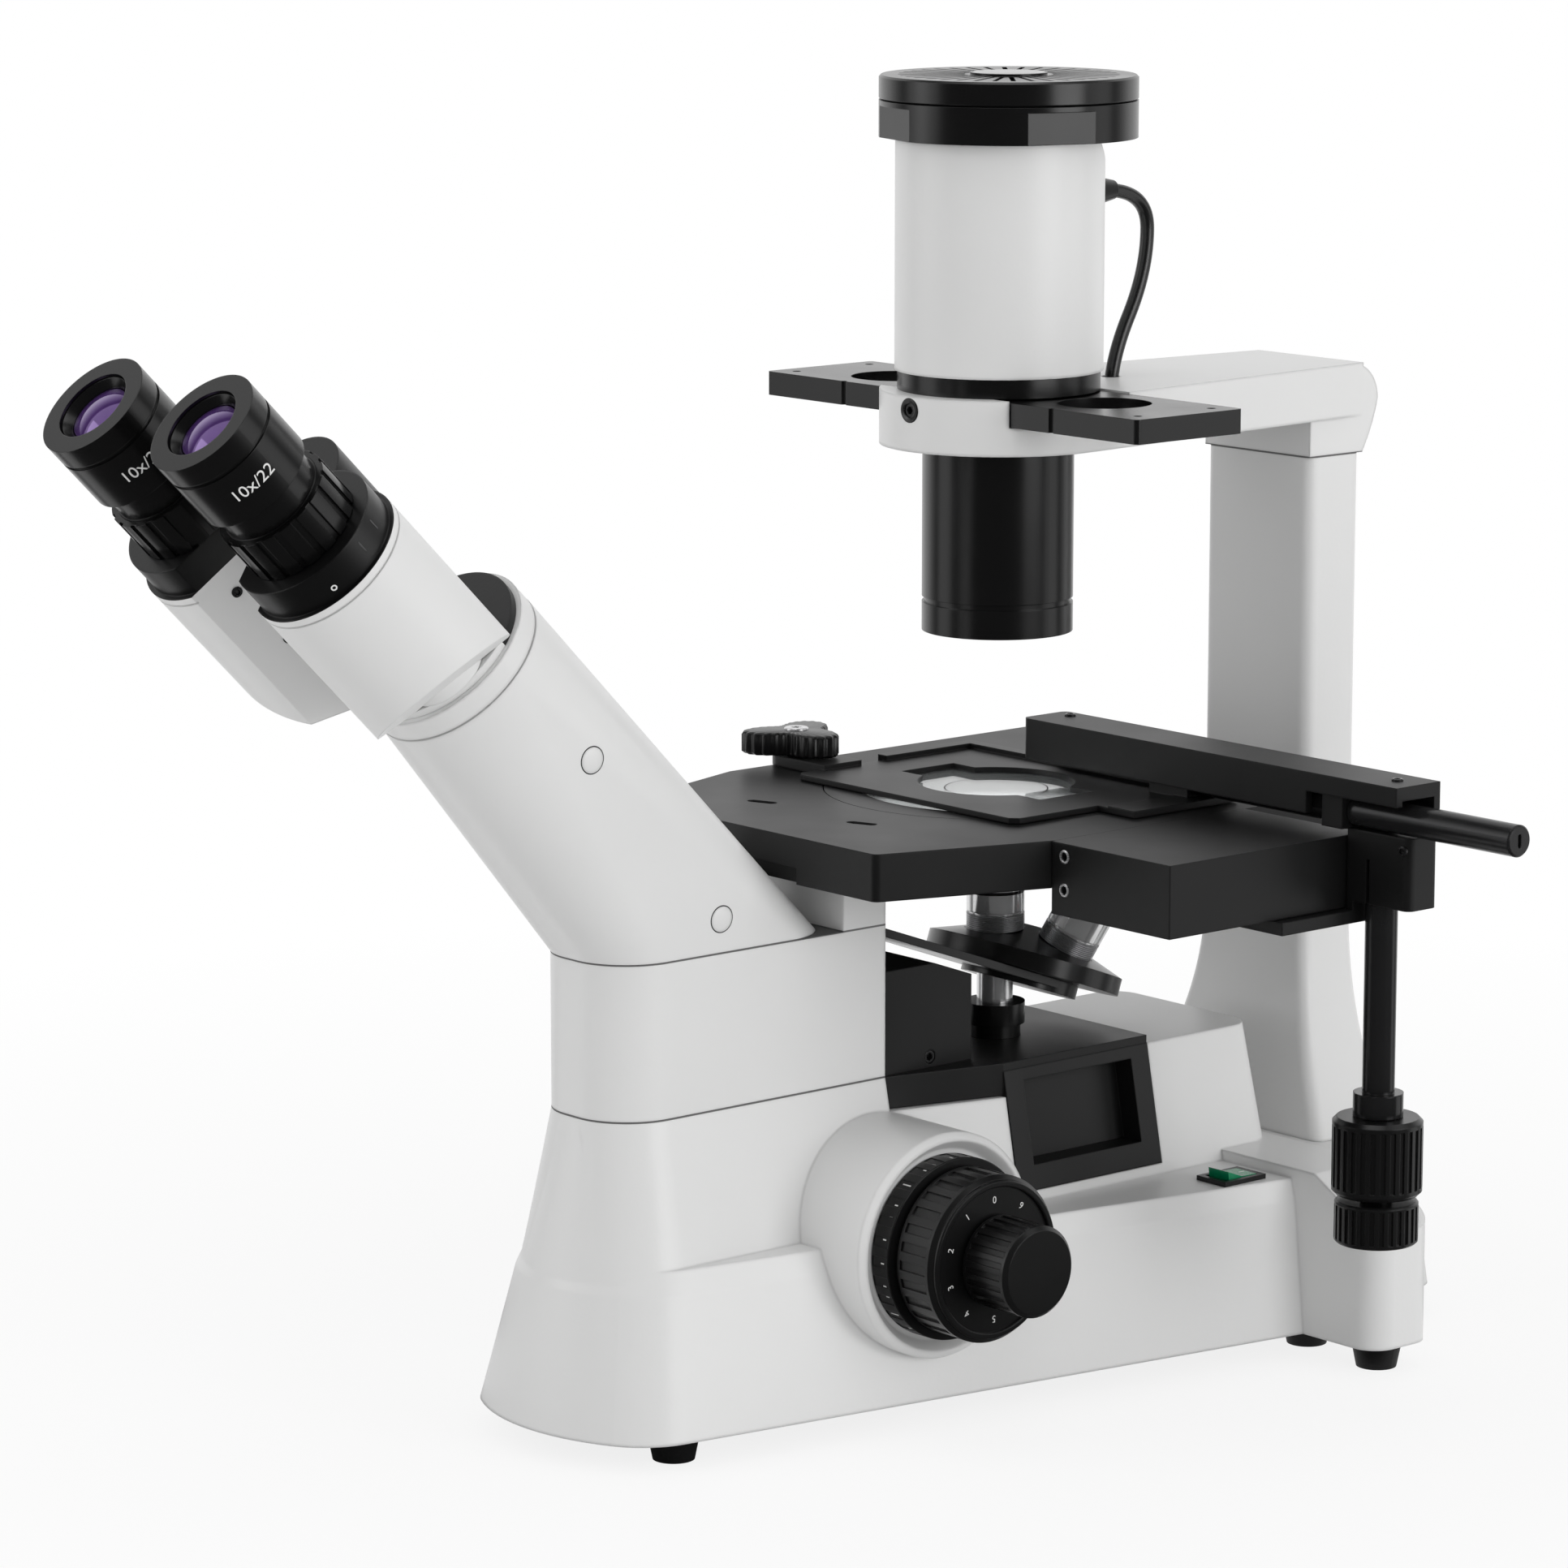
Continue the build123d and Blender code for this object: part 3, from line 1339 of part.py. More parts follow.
# Specimen holder: a plate that skims the stage, a raised rim, a side bar, a lug on the rod
# and an arm that carries the clamp knob
holder_low_z = stage_top_z + slide_gap
rim_rear_y = holder_rear_y + 2 * running
with BuildPart() as specimen_holder:
    with Locations((-holder_half, holder_front_y, holder_low_z)):
        Box(2 * holder_half, holder_rear_y - holder_front_y, holder_thickness, align=corner_low)
    chamfer(specimen_holder.edges().filter_by(Axis.Z), wall)
    with BuildSketch(Plane.XY.offset(holder_low_z)):
        Circle(dish_radius)
        Rectangle(slide_length, slide_width)
    extrude(amount=holder_thickness, mode=Mode.SUBTRACT)
    with Locations((-holder_half - rim_width / 2, rim_front_y, holder_low_z)):
        Box(rim_width, rim_rear_y - rim_front_y, rim_top_z - holder_low_z, align=corner_low)
    with Locations((-holder_half - rim_width / 2, rim_rear_y - rim_width, holder_low_z)):
        Box(holder_half + bar_right_x, rim_width, rim_top_z - holder_low_z, align=corner_low)
    with Locations((holder_half - rim_width, bar_front_y, holder_low_z)):
        Box(
            bar_left_x - holder_half + 2 * rim_width,
            rail_rear_y - bar_front_y,
            holder_thickness,
            align=corner_low,
        )
    with Locations((bar_left_x, bar_front_y, holder_low_z)):
        Box(bar_right_x - bar_left_x, rail_rear_y - bar_front_y, bar_top_z - holder_low_z, align=corner_low)
    with Locations((lug_left_x, rod_y - lug_half, holder_low_z)):
        Box(lug_length, 2 * lug_half, rail_top_z - rail_roof - gap - holder_low_z, align=corner_low)
    with BuildSketch(Plane.YZ.offset(lug_left_x)):
        with Locations((rod_y, rod_z)):
            Circle(rod_radius + running)
    extrude(amount=lug_length, mode=Mode.SUBTRACT)
    with BuildSketch(Plane.XY.offset(holder_low_z)):
        with Locations((clamp_x, clamp_y)):
            Circle(clamp_arm_half)
        with Locations((clamp_x, clamp_y - clamp_arm_half)):
            Rectangle(-clamp_x - holder_half + wall, 2 * clamp_arm_half, align=(Align.MIN, Align.MIN))
    extrude(amount=rim_top_z - holder_low_z)
    with Locations((clamp_x, clamp_y, holder_low_z)):
        Cylinder(clamp_stem_radius + running, rim_top_z, mode=Mode.SUBTRACT)
save(specimen_holder.part, "specimen_holder")

with BuildPart() as clamp_knob:
    with Locations((clamp_x, clamp_y, holder_low_z)):
        Cylinder(clamp_stem_radius, clamp_low_z - holder_low_z + wall, align=on_floor)
    with BuildSketch(Plane.XY.offset(clamp_low_z)):
        with Locations((clamp_x, clamp_y)):
            Circle(clamp_radius)
            with PolarLocations(clamp_radius, clamp_lobes):
                Circle(clamp_lobe_radius)
            with PolarLocations(
                clamp_radius + clamp_lobe_radius / 2,
                clamp_lobes,
                start_angle=180 / clamp_lobes,
            ):
                Circle(clamp_lobe_radius / 2, mode=Mode.SUBTRACT)
    extrude(amount=clamp_top_z - clamp_low_z)
save(clamp_knob.part, "clamp_knob")

# Deck cover: a black plate behind the neck with slanted side skirts and a framed recess each side
with BuildPart() as deck_cover:
    with BuildSketch(Plane.XY.offset(deck_z)):
        with BuildLine():
            Polyline(
                (0, neck_rear_y + gap),
                (neck_half, neck_rear_y + gap),
                (body_half(deck_z), window_front_y),
                (body_half(deck_z), deck_rear_y),
                (0, deck_rear_y),
                close=True,
            )
        make_face()
        mirror(about=Plane.YZ)
    extrude(amount=deck_thickness)
    with BuildSketch(Plane.XY.offset(deck_z)):
        with BuildLine():
            Polyline(
                (neck_half - wall + gap, neck_rear_y + gap),
                (neck_half, neck_rear_y + gap),
                (body_half(deck_z), window_front_y),
                (body_half(deck_z) - wall + gap, window_front_y),
                close=True,
            )
        make_face()
        mirror(about=Plane.YZ)
    extrude(amount=deck_thickness - deck_skirt_drop)
    with BuildSketch(Plane.XZ.offset(-window_front_y)):
        with BuildLine():
            Polyline(
                (cover_in_x, window_low_z),
                (body_half(window_low_z) + gap, window_low_z),
                (body_half(deck_z) + gap, deck_z),
                (cover_in_x, deck_z),
                close=True,
            )
        make_face()
        mirror(about=Plane.YZ)
    extrude(amount=window_front_y - deck_rear_y)
    with BuildSketch(Plane.XZ.offset(-window_front_y - window_frame)):
        with BuildLine():
            Polyline(
                (body_half(window_low_z) - window_depth, window_low_z + window_frame),
                (body_half(window_low_z) + window_depth, window_low_z + window_frame),
                (body_half(deck_z) + window_depth, deck_z - window_frame / 2),
                (body_half(deck_z) - window_depth + wall, deck_z - window_frame / 2),
                close=True,
            )
        make_face()
        mirror(about=Plane.YZ)
    extrude(amount=window_front_y - deck_rear_y + 2 * window_frame, mode=Mode.SUBTRACT)
    with Locations((0, 0, deck_z)):
        Cylinder(light_tube_radius + wall, 2 * deck_thickness, mode=Mode.SUBTRACT)
save(deck_cover.part, "deck_cover")

# Focus block behind the neck, and the stepped socket that guides the light tube
with BuildPart() as focus_block:
    with BuildSketch(Plane.YZ.offset(-neck_half + gap)):
        with BuildLine():
            Polyline(
                (neck_rear_y + gap, neck_seat_z),
                (neck_rear_y + gap, neck_seat_z + block_height),
                (block_slope_y, neck_seat_z + block_height),
                (block_rear_y, neck_seat_z + block_rear_height),
                (block_rear_y, neck_seat_z),
                close=True,
            )
        make_face()
    extrude(amount=2 * (neck_half - gap))
    with BuildSketch(Plane.YZ.offset(neck_half - gap)):
        with Locations((block_screw_y, neck_seat_z + block_screw_up)):
            Circle(screw_radius + running)
    extrude(amount=-screw_length - wall, mode=Mode.SUBTRACT)
save(focus_block.part, "focus_block")

with BuildPart() as light_tube_socket:
    with Locations((0, 0, neck_seat_z)):
        Cylinder(socket_step_radius, socket_step_height, align=on_floor)
        with Locations((0, 0, socket_step_height)):
            Cylinder(socket_radius, socket_height - socket_step_height, align=on_floor)
        Cylinder(light_tube_radius + running, 2 * socket_height, mode=Mode.SUBTRACT)
save(light_tube_socket.part, "light_tube_socket")

# Nosepiece: a tilted turret whose lowest generator brings one objective upright over the axis
lean = radians(turret_tilt)
turret = Plane(origin=(0, nosepiece_y, nosepiece_z), x_dir=(1, 0, 0), z_dir=(0, sin(lean), cos(lean)))
crown_height = (turret_radius - turret_crown_radius) * tan(lean)
seat_height = turret_thickness + (turret_radius - objective_pitch_radius) * tan(lean)


def seat(turn):
    """Plane of an objective's seat, facing along the objective's own axis."""
    out = turret.x_dir * cos(radians(turn)) + turret.y_dir * sin(radians(turn))
    along = turret.y_dir * cos(radians(turn)) - turret.x_dir * sin(radians(turn))
    facing = out * sin(lean) + turret.z_dir * cos(lean)
    centre = turret.origin + out * objective_pitch_radius + turret.z_dir * seat_height
    return Plane(origin=centre - facing * spot_depth, x_dir=along, z_dir=facing)


seat_turns = (-90, 0, 90, 180)
with BuildPart(turret) as nosepiece_turret:
    Cylinder(turret_radius, turret_thickness, align=on_floor)
    with Locations((0, 0, turret_thickness)):
        Cone(turret_radius, turret_crown_radius, crown_height, align=on_floor)
    Cylinder(turret_bore + running, turret_bore_depth + gap, align=on_floor, mode=Mode.SUBTRACT)
    for turn in seat_turns:
        with BuildSketch(seat(turn)):
            Circle(spot_radius)
        extrude(amount=spot_radius, mode=Mode.SUBTRACT)
        with BuildSketch(seat(turn)):
            Circle(stem_radius + running)
        extrude(amount=-stem_length - gap, mode=Mode.SUBTRACT)
        with BuildSketch(seat(turn)):
            Circle(objective_port)
        extrude(amount=-2 * seat_height, mode=Mode.SUBTRACT)
save(nosepiece_turret.part, "nosepiece_turret")


def objective(turn, length):
    """One objective: threaded stem, grip ring, neck, barrel and tapered front."""
    barrel_length = length - objective_ring - objective_neck - objective_taper
    with BuildPart(seat(turn)) as lens:
        Cylinder(stem_radius, stem_length, align=under_floor)
        Cylinder(objective_radius, objective_ring, align=on_floor)
        with Locations((0, 0, objective_ring)):
            Cylinder(objective_radius - objective_neck, objective_neck, align=on_floor)
        with Locations((0, 0, objective_ring + objective_neck)):
            Cylinder(objective_radius, barrel_length, align=on_floor)
        with Locations((0, 0, length - objective_taper)):
            Cone(objective_radius, objective_tip_radius, objective_taper, align=on_floor)
        with Locations((0, 0, length)):
            Cylinder(front_lens_radius, 2 * objective_neck, mode=Mode.SUBTRACT)
        with Locations((0, 0, -stem_length)):
            Cylinder(objective_port, length / 2, align=on_floor, mode=Mode.SUBTRACT)
    return lens.part


with BuildPart() as scanning_objective:
    add(objective(seat_turns[0], scanning_length))
save(scanning_objective.part, "scanning_objective")
with BuildPart() as low_power_objective:
    add(objective(seat_turns[1], low_power_length))
save(low_power_objective.part, "low_power_objective")
with BuildPart() as medium_power_objective:
    add(objective(seat_turns[2], medium_power_length))
save(medium_power_objective.part, "medium_power_objective")
with BuildPart() as high_power_objective:
    add(objective(seat_turns[3], high_power_length))
save(high_power_objective.part, "high_power_objective")

# Carrier under the turret, with its pivot pin and a flat arm that reaches forward over the focus
# block, and the light tube that it rides on
with BuildPart(turret) as nosepiece_carrier:
    with Locations((0, 0, -gap)):
        Cylinder(carrier_radius, carrier_thickness, align=under_floor)
        Box(
            2 * carrier_radius,
            carrier_arm_length,
            carrier_arm_thickness,
            align=(Align.CENTER, Align.MAX, Align.MAX),
        )
        Cylinder(turret_bore, turret_bore_depth, align=on_floor)
    with BuildSketch(Plane.XY):
        Circle(light_tube_radius + running)
    extrude(amount=2 * nosepiece_z, mode=Mode.SUBTRACT)
save(nosepiece_carrier.part, "nosepiece_carrier")

with BuildPart() as light_tube:
    with Locations((0, 0, light_tube_low_z)):
        Cylinder(light_tube_radius, nosepiece_z, align=on_floor)
        Cylinder(light_tube_bore, 2 * nosepiece_z, mode=Mode.SUBTRACT)
    with BuildSketch(turret.offset(-2 * gap)):
        Rectangle(4 * turret_radius, 4 * turret_radius)
    extrude(amount=2 * nosepiece_z, mode=Mode.SUBTRACT)
save(light_tube.part, "light_tube")

# Focus controls: a tension ring, coarse knobs on a hollow shaft and fine knobs on a shaft inside it
ring_x = boss_face_x + gap
coarse_x = boss_face_x + tension_length
fine_x = coarse_x + coarse_length + gap
with BuildPart() as tension_ring:
    with Locations(Location((ring_x, focus_y, focus_z), to_right)):
        add(
            fluted(
                tension_radius,
                tension_length - 2 * gap,
                sleeve_radius + running,
                coarse_flutes,
                gap,
                2 * gap,
            )
        )
save(tension_ring.part, "tension_ring")

with BuildPart() as coarse_knobs:
    with Locations(Location((coarse_x, focus_y, focus_z), to_right)):
        add(fluted(coarse_radius, coarse_length, 0, coarse_flutes, flute_depth, wall))
    with Locations(Location((coarse_x, focus_y, focus_z), to_left)):
        Cylinder(sleeve_radius, 2 * coarse_x + coarse_length, align=on_floor)
    with Locations(Location((0, focus_y, focus_z), to_right)):
        Cylinder(fine_shaft_radius + running, 4 * coarse_x, mode=Mode.SUBTRACT)
    with Locations(Location((-coarse_x - gap, focus_y, focus_z), to_left)):
        add(fluted(coarse_radius, coarse_length, sleeve_radius + running, coarse_flutes, flute_depth, wall))
save(coarse_knobs.part, "coarse_knobs")

with BuildPart() as fine_shaft:
    with Locations(Location((0, focus_y, focus_z), to_right)):
        Cylinder(fine_shaft_radius, 2 * fine_shaft_half)
save(fine_shaft.part, "fine_shaft")

with BuildPart() as fine_knobs:
    with Locations(
        Location((fine_x, focus_y, focus_z), to_right),
        Location((-fine_x - gap, focus_y, focus_z), to_left),
    ):
        add(fluted(fine_radius, fine_length, 0, fine_flutes, flute_depth, wall))
    with Locations(Location((0, focus_y, focus_z), to_right)):
        Cylinder(fine_shaft_radius + running, 2 * fine_shaft_half + 2 * gap, mode=Mode.SUBTRACT)
save(fine_knobs.part, "fine_knobs")

# Rocker switch on two pins in its bezel
bezel_z = ledge_z + bezel_height
pin_line = Location((rocker_x, rocker_y, bezel_z - rocker_pin_drop), to_right)
with BuildPart() as switch_bezel:
    with Locations((rocker_x, rocker_y, ledge_z)):
        Box(rocker_width, rocker_length, bezel_height, align=on_floor)
        Box(rocker_width - 2 * bezel_rim, rocker_length - 2 * bezel_rim, switch_depth, align=under_floor)
    with Locations((rocker_x, rocker_y, bezel_z)):
        Box(
            2 * (rocker_side + gap),
            2 * (rocker_half + 3 * gap),
            2 * (rocker_root + 2 * wall),
            mode=Mode.SUBTRACT,
        )
    with Locations(pin_line):
        Cylinder(
            rocker_pin_radius + running,
            2 * (rocker_side + rocker_pin_depth + gap),
            mode=Mode.SUBTRACT,
        )
save(switch_bezel.part, "switch_bezel")

with BuildPart() as rocker:
    rocker_frame = Plane(
        origin=(rocker_x - rocker_side, rocker_y, bezel_z - rocker_pin_drop),
        x_dir=(0, cos(radians(rocker_tilt)), -sin(radians(rocker_tilt))),
        z_dir=(1, 0, 0),
    )
    with BuildSketch(rocker_frame):
        with BuildLine():
            Polyline(
                (-rocker_half, rocker_pin_drop + rocker_crest),
                (0, rocker_pin_drop + gap),
                (rocker_half, rocker_pin_drop + rocker_crest),
                (rocker_half - rocker_crest, rocker_pin_drop - rocker_root),
                (rocker_crest - rocker_half, rocker_pin_drop - rocker_root),
                close=True,
            )
        make_face()
    extrude(amount=2 * rocker_side)
    with Locations(pin_line):
        Cylinder(rocker_pin_radius, 2 * (rocker_side + rocker_pin_depth))
save(rocker.part, "rocker")

# Brightness knob on the left ledge
with BuildPart() as brightness_knob:
    with Locations((-dial_x, rocker_y, ledge_z + gap)):
        add(fluted(dial_radius, dial_height, 0, fine_flutes, flute_depth, wall / 2))
        Cylinder(dial_shaft_radius, dial_shaft_length, align=under_floor)
save(brightness_knob.part, "brightness_knob")

# Mains inlet in the base's rear face, with three flat pins
with BuildPart() as power_inlet:
    with Locations((0, base_rear_y, inlet_z)):
        Box(inlet_width, inlet_depth, inlet_height, align=(Align.CENTER, Align.MAX, Align.CENTER))
        Box(
            inlet_width + 4 * inlet_flange,
            inlet_flange,
            inlet_height + 2 * inlet_flange,
            align=(Align.CENTER, Align.MIN, Align.CENTER),
        )
    with BuildSketch(Plane.XZ.offset(-base_rear_y - inlet_flange)):
        with Locations((0, inlet_z)):
            RectangleRounded(inlet_width - 2 * inlet_flange, inlet_height - 2 * inlet_flange, inlet_flange)
            with Locations((0, pin_width), (pin_pitch, -pin_width), (-pin_pitch, -pin_width)):
                Rectangle(pin_width, pin_height, mode=Mode.SUBTRACT)
    extrude(amount=inlet_recess, mode=Mode.SUBTRACT)
save(power_inlet.part, "power_inlet")

# Socket screws seen on the arm's nose, the drive housing and the focus block
with BuildPart() as socket_screws:
    with Locations(
        Location((0, -arm_nose_radius, arm_screw_z), (90, 0, 0)),
        Location((drive_screw_x, drive_front_y, drive_screw_z), (90, 0, 0)),
        Location((drive_screw_x, drive_front_y, drive_screw_z + drive_screw_pitch), (90, 0, 0)),
        Location((neck_half - gap, block_screw_y, neck_seat_z + block_screw_up), to_right),
    ):
        add(screw())
save(socket_screws.part, "socket_screws")
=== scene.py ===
# %% [markdown]
# An inverted microscope looks at cells from below: the lamp stands on a pillar, the lenses hang in
# a tilted turret under the stage, and the image leaves through a slanted tube with two eyepieces.
# The metal itself comes ready made as solids, in metres, each piece already in its place.
# This lesson gives those pieces their finishes and adds the small things that solids leave out.

# %% Load the solids
from math import cos, pi, radians, sin

import bmesh
import bpy
from mathutils import Matrix, Vector
from mathutils.bvhtree import BVHTree


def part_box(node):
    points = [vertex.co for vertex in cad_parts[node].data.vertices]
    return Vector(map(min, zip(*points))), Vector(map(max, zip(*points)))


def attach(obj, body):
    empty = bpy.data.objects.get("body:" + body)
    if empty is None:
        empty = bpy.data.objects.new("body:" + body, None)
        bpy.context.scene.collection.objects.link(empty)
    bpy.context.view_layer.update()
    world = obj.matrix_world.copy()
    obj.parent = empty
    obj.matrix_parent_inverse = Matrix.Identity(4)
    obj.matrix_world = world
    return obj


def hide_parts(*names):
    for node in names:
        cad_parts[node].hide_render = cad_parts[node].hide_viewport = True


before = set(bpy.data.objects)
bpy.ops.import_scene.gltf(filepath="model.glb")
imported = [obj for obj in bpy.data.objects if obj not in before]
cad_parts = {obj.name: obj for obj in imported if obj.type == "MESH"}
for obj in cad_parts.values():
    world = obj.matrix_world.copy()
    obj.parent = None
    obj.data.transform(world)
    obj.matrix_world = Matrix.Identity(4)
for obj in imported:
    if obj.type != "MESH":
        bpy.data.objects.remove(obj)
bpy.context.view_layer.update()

# %% [markdown]
# The camera stands to the right of the operator, a little above the eyepieces, and far away, so
# that upright edges stay almost parallel. A long lens could be faked with an orthographic camera,
# but the bench end of the base is visibly nearer than the pillar, so a real long lens is used.

# %% Camera
eye = bpy.data.cameras.new("bench_camera")
eye.lens = 137.4
eye.sensor_width = 36.0
camera = bpy.data.objects.new("bench_camera", eye)
camera.location = (1.6006, -1.4648, 0.6113)
camera.rotation_euler = (radians(79.6), 0.0, radians(49.6))
bpy.context.scene.collection.objects.link(camera)
bpy.context.scene.camera = camera
print("camera at", [round(v, 3) for v in camera.location])

# %% [markdown]
# A shader is a small graph of sums. Written out node by node it is long and hard to read, so one
# class wraps a socket: adding, multiplying or comparing two of them adds the Math nodes, and one
# method makes any other node from its kind, its settings and what goes into its sockets.

# %% Shader sums
class Wire:
    """One value in a shader graph."""

    def __init__(self, tree, socket=None):
        self.tree = tree
        self.socket = socket

    def node(self, kind, settings=None, inputs=None, output=0):
        """A new node of a kind, and one of its outputs as a wire."""
        made = self.tree.nodes.new(kind)
        for key, value in (settings or {}).items():
            setattr(made, key, value)
        for key, value in (inputs or {}).items():
            self.feed(made.inputs[key], value)
        return Wire(self.tree, made.outputs[output])

    def feed(self, socket, value):
        """Link a wire to a socket, or set a constant there."""
        if isinstance(value, Wire):
            self.tree.links.new(value.socket, socket)
        else:
            socket.default_value = value

    def sum(self, operation, first, second):
        return self.node("ShaderNodeMath", {"operation": operation}, {0: first, 1: second})

    def __add__(self, other):
        return self.sum("ADD", self, other)

    def __radd__(self, other):
        return self.sum("ADD", other, self)

    def __sub__(self, other):
        return self.sum("SUBTRACT", self, other)

    def __rsub__(self, other):
        return self.sum("SUBTRACT", other, self)

    def __mul__(self, other):
        return self.sum("MULTIPLY", self, other)

    def __rmul__(self, other):
        return self.sum("MULTIPLY", other, self)

    def __truediv__(self, other):
        return self.sum("DIVIDE", self, other)

    def __rtruediv__(self, other):
        return self.sum("DIVIDE", other, self)

    def __lt__(self, other):
        return self.sum("LESS_THAN", self, other)

    def __gt__(self, other):
        return self.sum("GREATER_THAN", self, other)

    def __abs__(self):
        return self.sum("ABSOLUTE", self, 0.0)


def finish(name):
    """A new material: its shader, and the place on the object as a wire."""
    material = bpy.data.materials.new(name)
    material.use_nodes = True
    shader = material.node_tree.nodes["Principled BSDF"]
    here = Wire(material.node_tree).node("ShaderNodeTexCoord", output="Object")
    return material, shader, here


def grain(here, size, detail=2.0):
    """Cloudy noise from 0 to 1 whose blots are about size metres across."""
    inputs = {"Vector": here, "Scale": 1.0 / size, "Detail": detail}
    return here.node("ShaderNodeTexNoise", None, inputs, "Fac")


def blend(share, low, high):
    """A colour between two, by a share from 0 to 1."""
    settings = {"data_type": "RGBA"}
    colours = [c if isinstance(c, Wire) else (*c, 1.0) for c in (low, high)]
    return share.node("ShaderNodeMix", settings, {0: share, 6: colours[0], 7: colours[1]}, 2)


def relief(height, depth, edge=0.0008):
    """A normal for edges broken by a small radius, raised by a height from 0 to 1 times a depth."""
    broken = height.node("ShaderNodeBevel", {"samples": 4}, {"Radius": edge})
    inputs = {"Height": height, "Distance": depth, "Normal": broken}
    return height.node("ShaderNodeBump", None, inputs)


def vector(operation, inputs, output=0):
    """One step of vector maths on the first of its inputs."""
    settings = {"operation": operation}
    return inputs[0].node("ShaderNodeVectorMath", settings, dict(enumerate(inputs)), output)


def along(here, origin, axis):
    """How far a place lies along a line, in metres."""
    arm = vector("SUBTRACT", [here, tuple(origin)])
    return vector("DOT_PRODUCT", [arm, tuple(axis)], "Value")


def away(here, origin, axis):
    """How far a place lies from a line, in metres."""
    arm = vector("SUBTRACT", [here, tuple(origin)])
    return vector("LENGTH", [vector("CROSS_PRODUCT", [arm, tuple(axis)])], "Value")


def near(value, centre, half):
    """1 within a half-width of a centre, else 0."""
    return abs(value - centre) < half


def ramp(value, low, high):
    """0 below low, 1 above high, and even steps between them."""
    inputs = {"Value": value, "From Min": low, "From Max": high}
    return value.node("ShaderNodeMapRange", None, inputs)


print("shader helpers ready")

# %% [markdown]
# A catalogue picture has a white sweep and big soft lamps. The floor is one large pale sheet. What
# the camera sees of it is mostly plain white with a share of its own light, which keeps the
# object's shadow, and its own light fades out with the distance from the object.
# Metal and black gloss need something dark to mirror as well, or they look like grey paint. So a
# mirrored ray sees white towards the back of the sweep and on a card at each side, and a dim room
# elsewhere. A round black part then shows the long light streaks that a studio gives it.

# %% Floor
origin, upright, front = (0, 0, 0), (0, 0, 1), (0.74, -0.67, 0.0)
floor_half = 20.0


def rays(tree):
    """Wires that are 1 for rays from the camera, off a mirror and through glass."""
    path = tree.nodes.new("ShaderNodeLightPath")
    kinds = ("Is Camera Ray", "Is Glossy Ray", "Is Transmission Ray")
    return [Wire(tree, path.outputs[kind]) for kind in kinds]


def cards(toward):
    """What a mirrored ray sees, by how far it goes towards the front, from -1 to 1."""
    dim, back, side = 0.07, 0.90, 0.80
    return dim + back * ramp(-1.0 * toward, 0.30, 0.65) + side * near(toward, 0.02, 0.22)


sheet = bpy.data.meshes.new("floor")
signs = ((-1, -1), (1, -1), (1, 1), (-1, 1))
sheet.from_pydata([(x * floor_half, y * floor_half, 0) for x, y in signs], [], [(0, 1, 2, 3)])
floor = bpy.data.objects.new("floor", sheet)
bpy.context.scene.collection.objects.link(floor)
floor_paint, floor_skin, here = finish("floor_paper")
floor_skin.inputs["Roughness"].default_value = 0.9
paper_shade = blend(grain(here, 0.8), (0.88, 0.88, 0.88), (0.9, 0.9, 0.9))
here.feed(floor_skin.inputs["Base Color"], paper_shade)
seen, mirrored, passed = rays(here.tree)
reach = away(here, origin, upright)
plain = (0.84 + 0.16 * ramp(reach, 0.25, 0.8)) * seen
share = plain + cards(along(here, origin, front) / reach) * mirrored + 0.8 * passed
white = here.node("ShaderNodeEmission", None, {"Color": (1, 1, 1, 1), "Strength": 1.0})
matt = Wire(here.tree, floor_skin.outputs[0])
lit = here.node("ShaderNodeMixShader", None, {0: mirrored, 1: matt})
paper = here.node("ShaderNodeMixShader", None, {0: share, 1: lit, 2: white})
here.feed(floor_paint.node_tree.nodes["Material Output"].inputs["Surface"], paper)
sheet.materials.append(floor_paint)
print("floor", 2 * floor_half, "m wide")

# %% [markdown]
# The world does the same as the floor above the horizon: white for the camera and through glass,
# cards for mirrored rays, and an even room for the rest. Three soft lamps add the shape: a low one
# at the right, a weaker one in front on the left, and a sheet overhead.

# %% Light
room = 0.65
world = bpy.data.worlds.new("studio")
bpy.context.scene.world = world
world.use_nodes = True
sky = world.node_tree.nodes["Background"]
seen, mirrored, passed = rays(world.node_tree)
gaze = seen.node("ShaderNodeTexCoord", output="Generated")
mirror = cards(along(gaze, origin, front))
glow = room + (1.0 - room) * seen + (mirror - room) * mirrored + (1.0 - room) * passed
seen.feed(sky.inputs["Strength"], glow)
sky.inputs["Color"].default_value = (1.0, 1.0, 1.0, 1.0)


def softbox(name, place, target, width, height, power):
    """A rectangular lamp that looks at a point."""
    lamp = bpy.data.lights.new(name, "AREA")
    lamp.shape = "RECTANGLE"
    lamp.size = width
    lamp.size_y = height
    lamp.energy = power
    box = bpy.data.objects.new(name, lamp)
    box.location = place
    box.rotation_euler = (Vector(target) - Vector(place)).to_track_quat("-Z", "Y").to_euler()
    bpy.context.scene.collection.objects.link(box)


softbox("key_right", (2.2, 0.45, 0.7), (0, 0.0, 0.12), 1.2, 1.2, 15.0)
softbox("fill_left", (-1.2, -2.2, 1.0), (0, -0.05, 0.2), 1.2, 1.6, 8.5)
softbox("top_sheet", (0.2, -0.2, 2.4), (0, 0, 0.2), 1.2, 1.2, 5.0)
bpy.context.scene.view_settings.view_transform = "Standard"
print("world and", len(bpy.data.lights), "softboxes")

# %% [markdown]
# The lamp's lead leaves the back of the lamp house through a strain relief, hangs in a short bow
# and goes into a hole in the arm. The photo shows it from end to end. A chain of straight tubes
# would look like bent wire, so it is a smooth spline that only leans towards its guide points.
# The thickness is set on the points, not on the curve, so the curve's box is as slim as the lead.

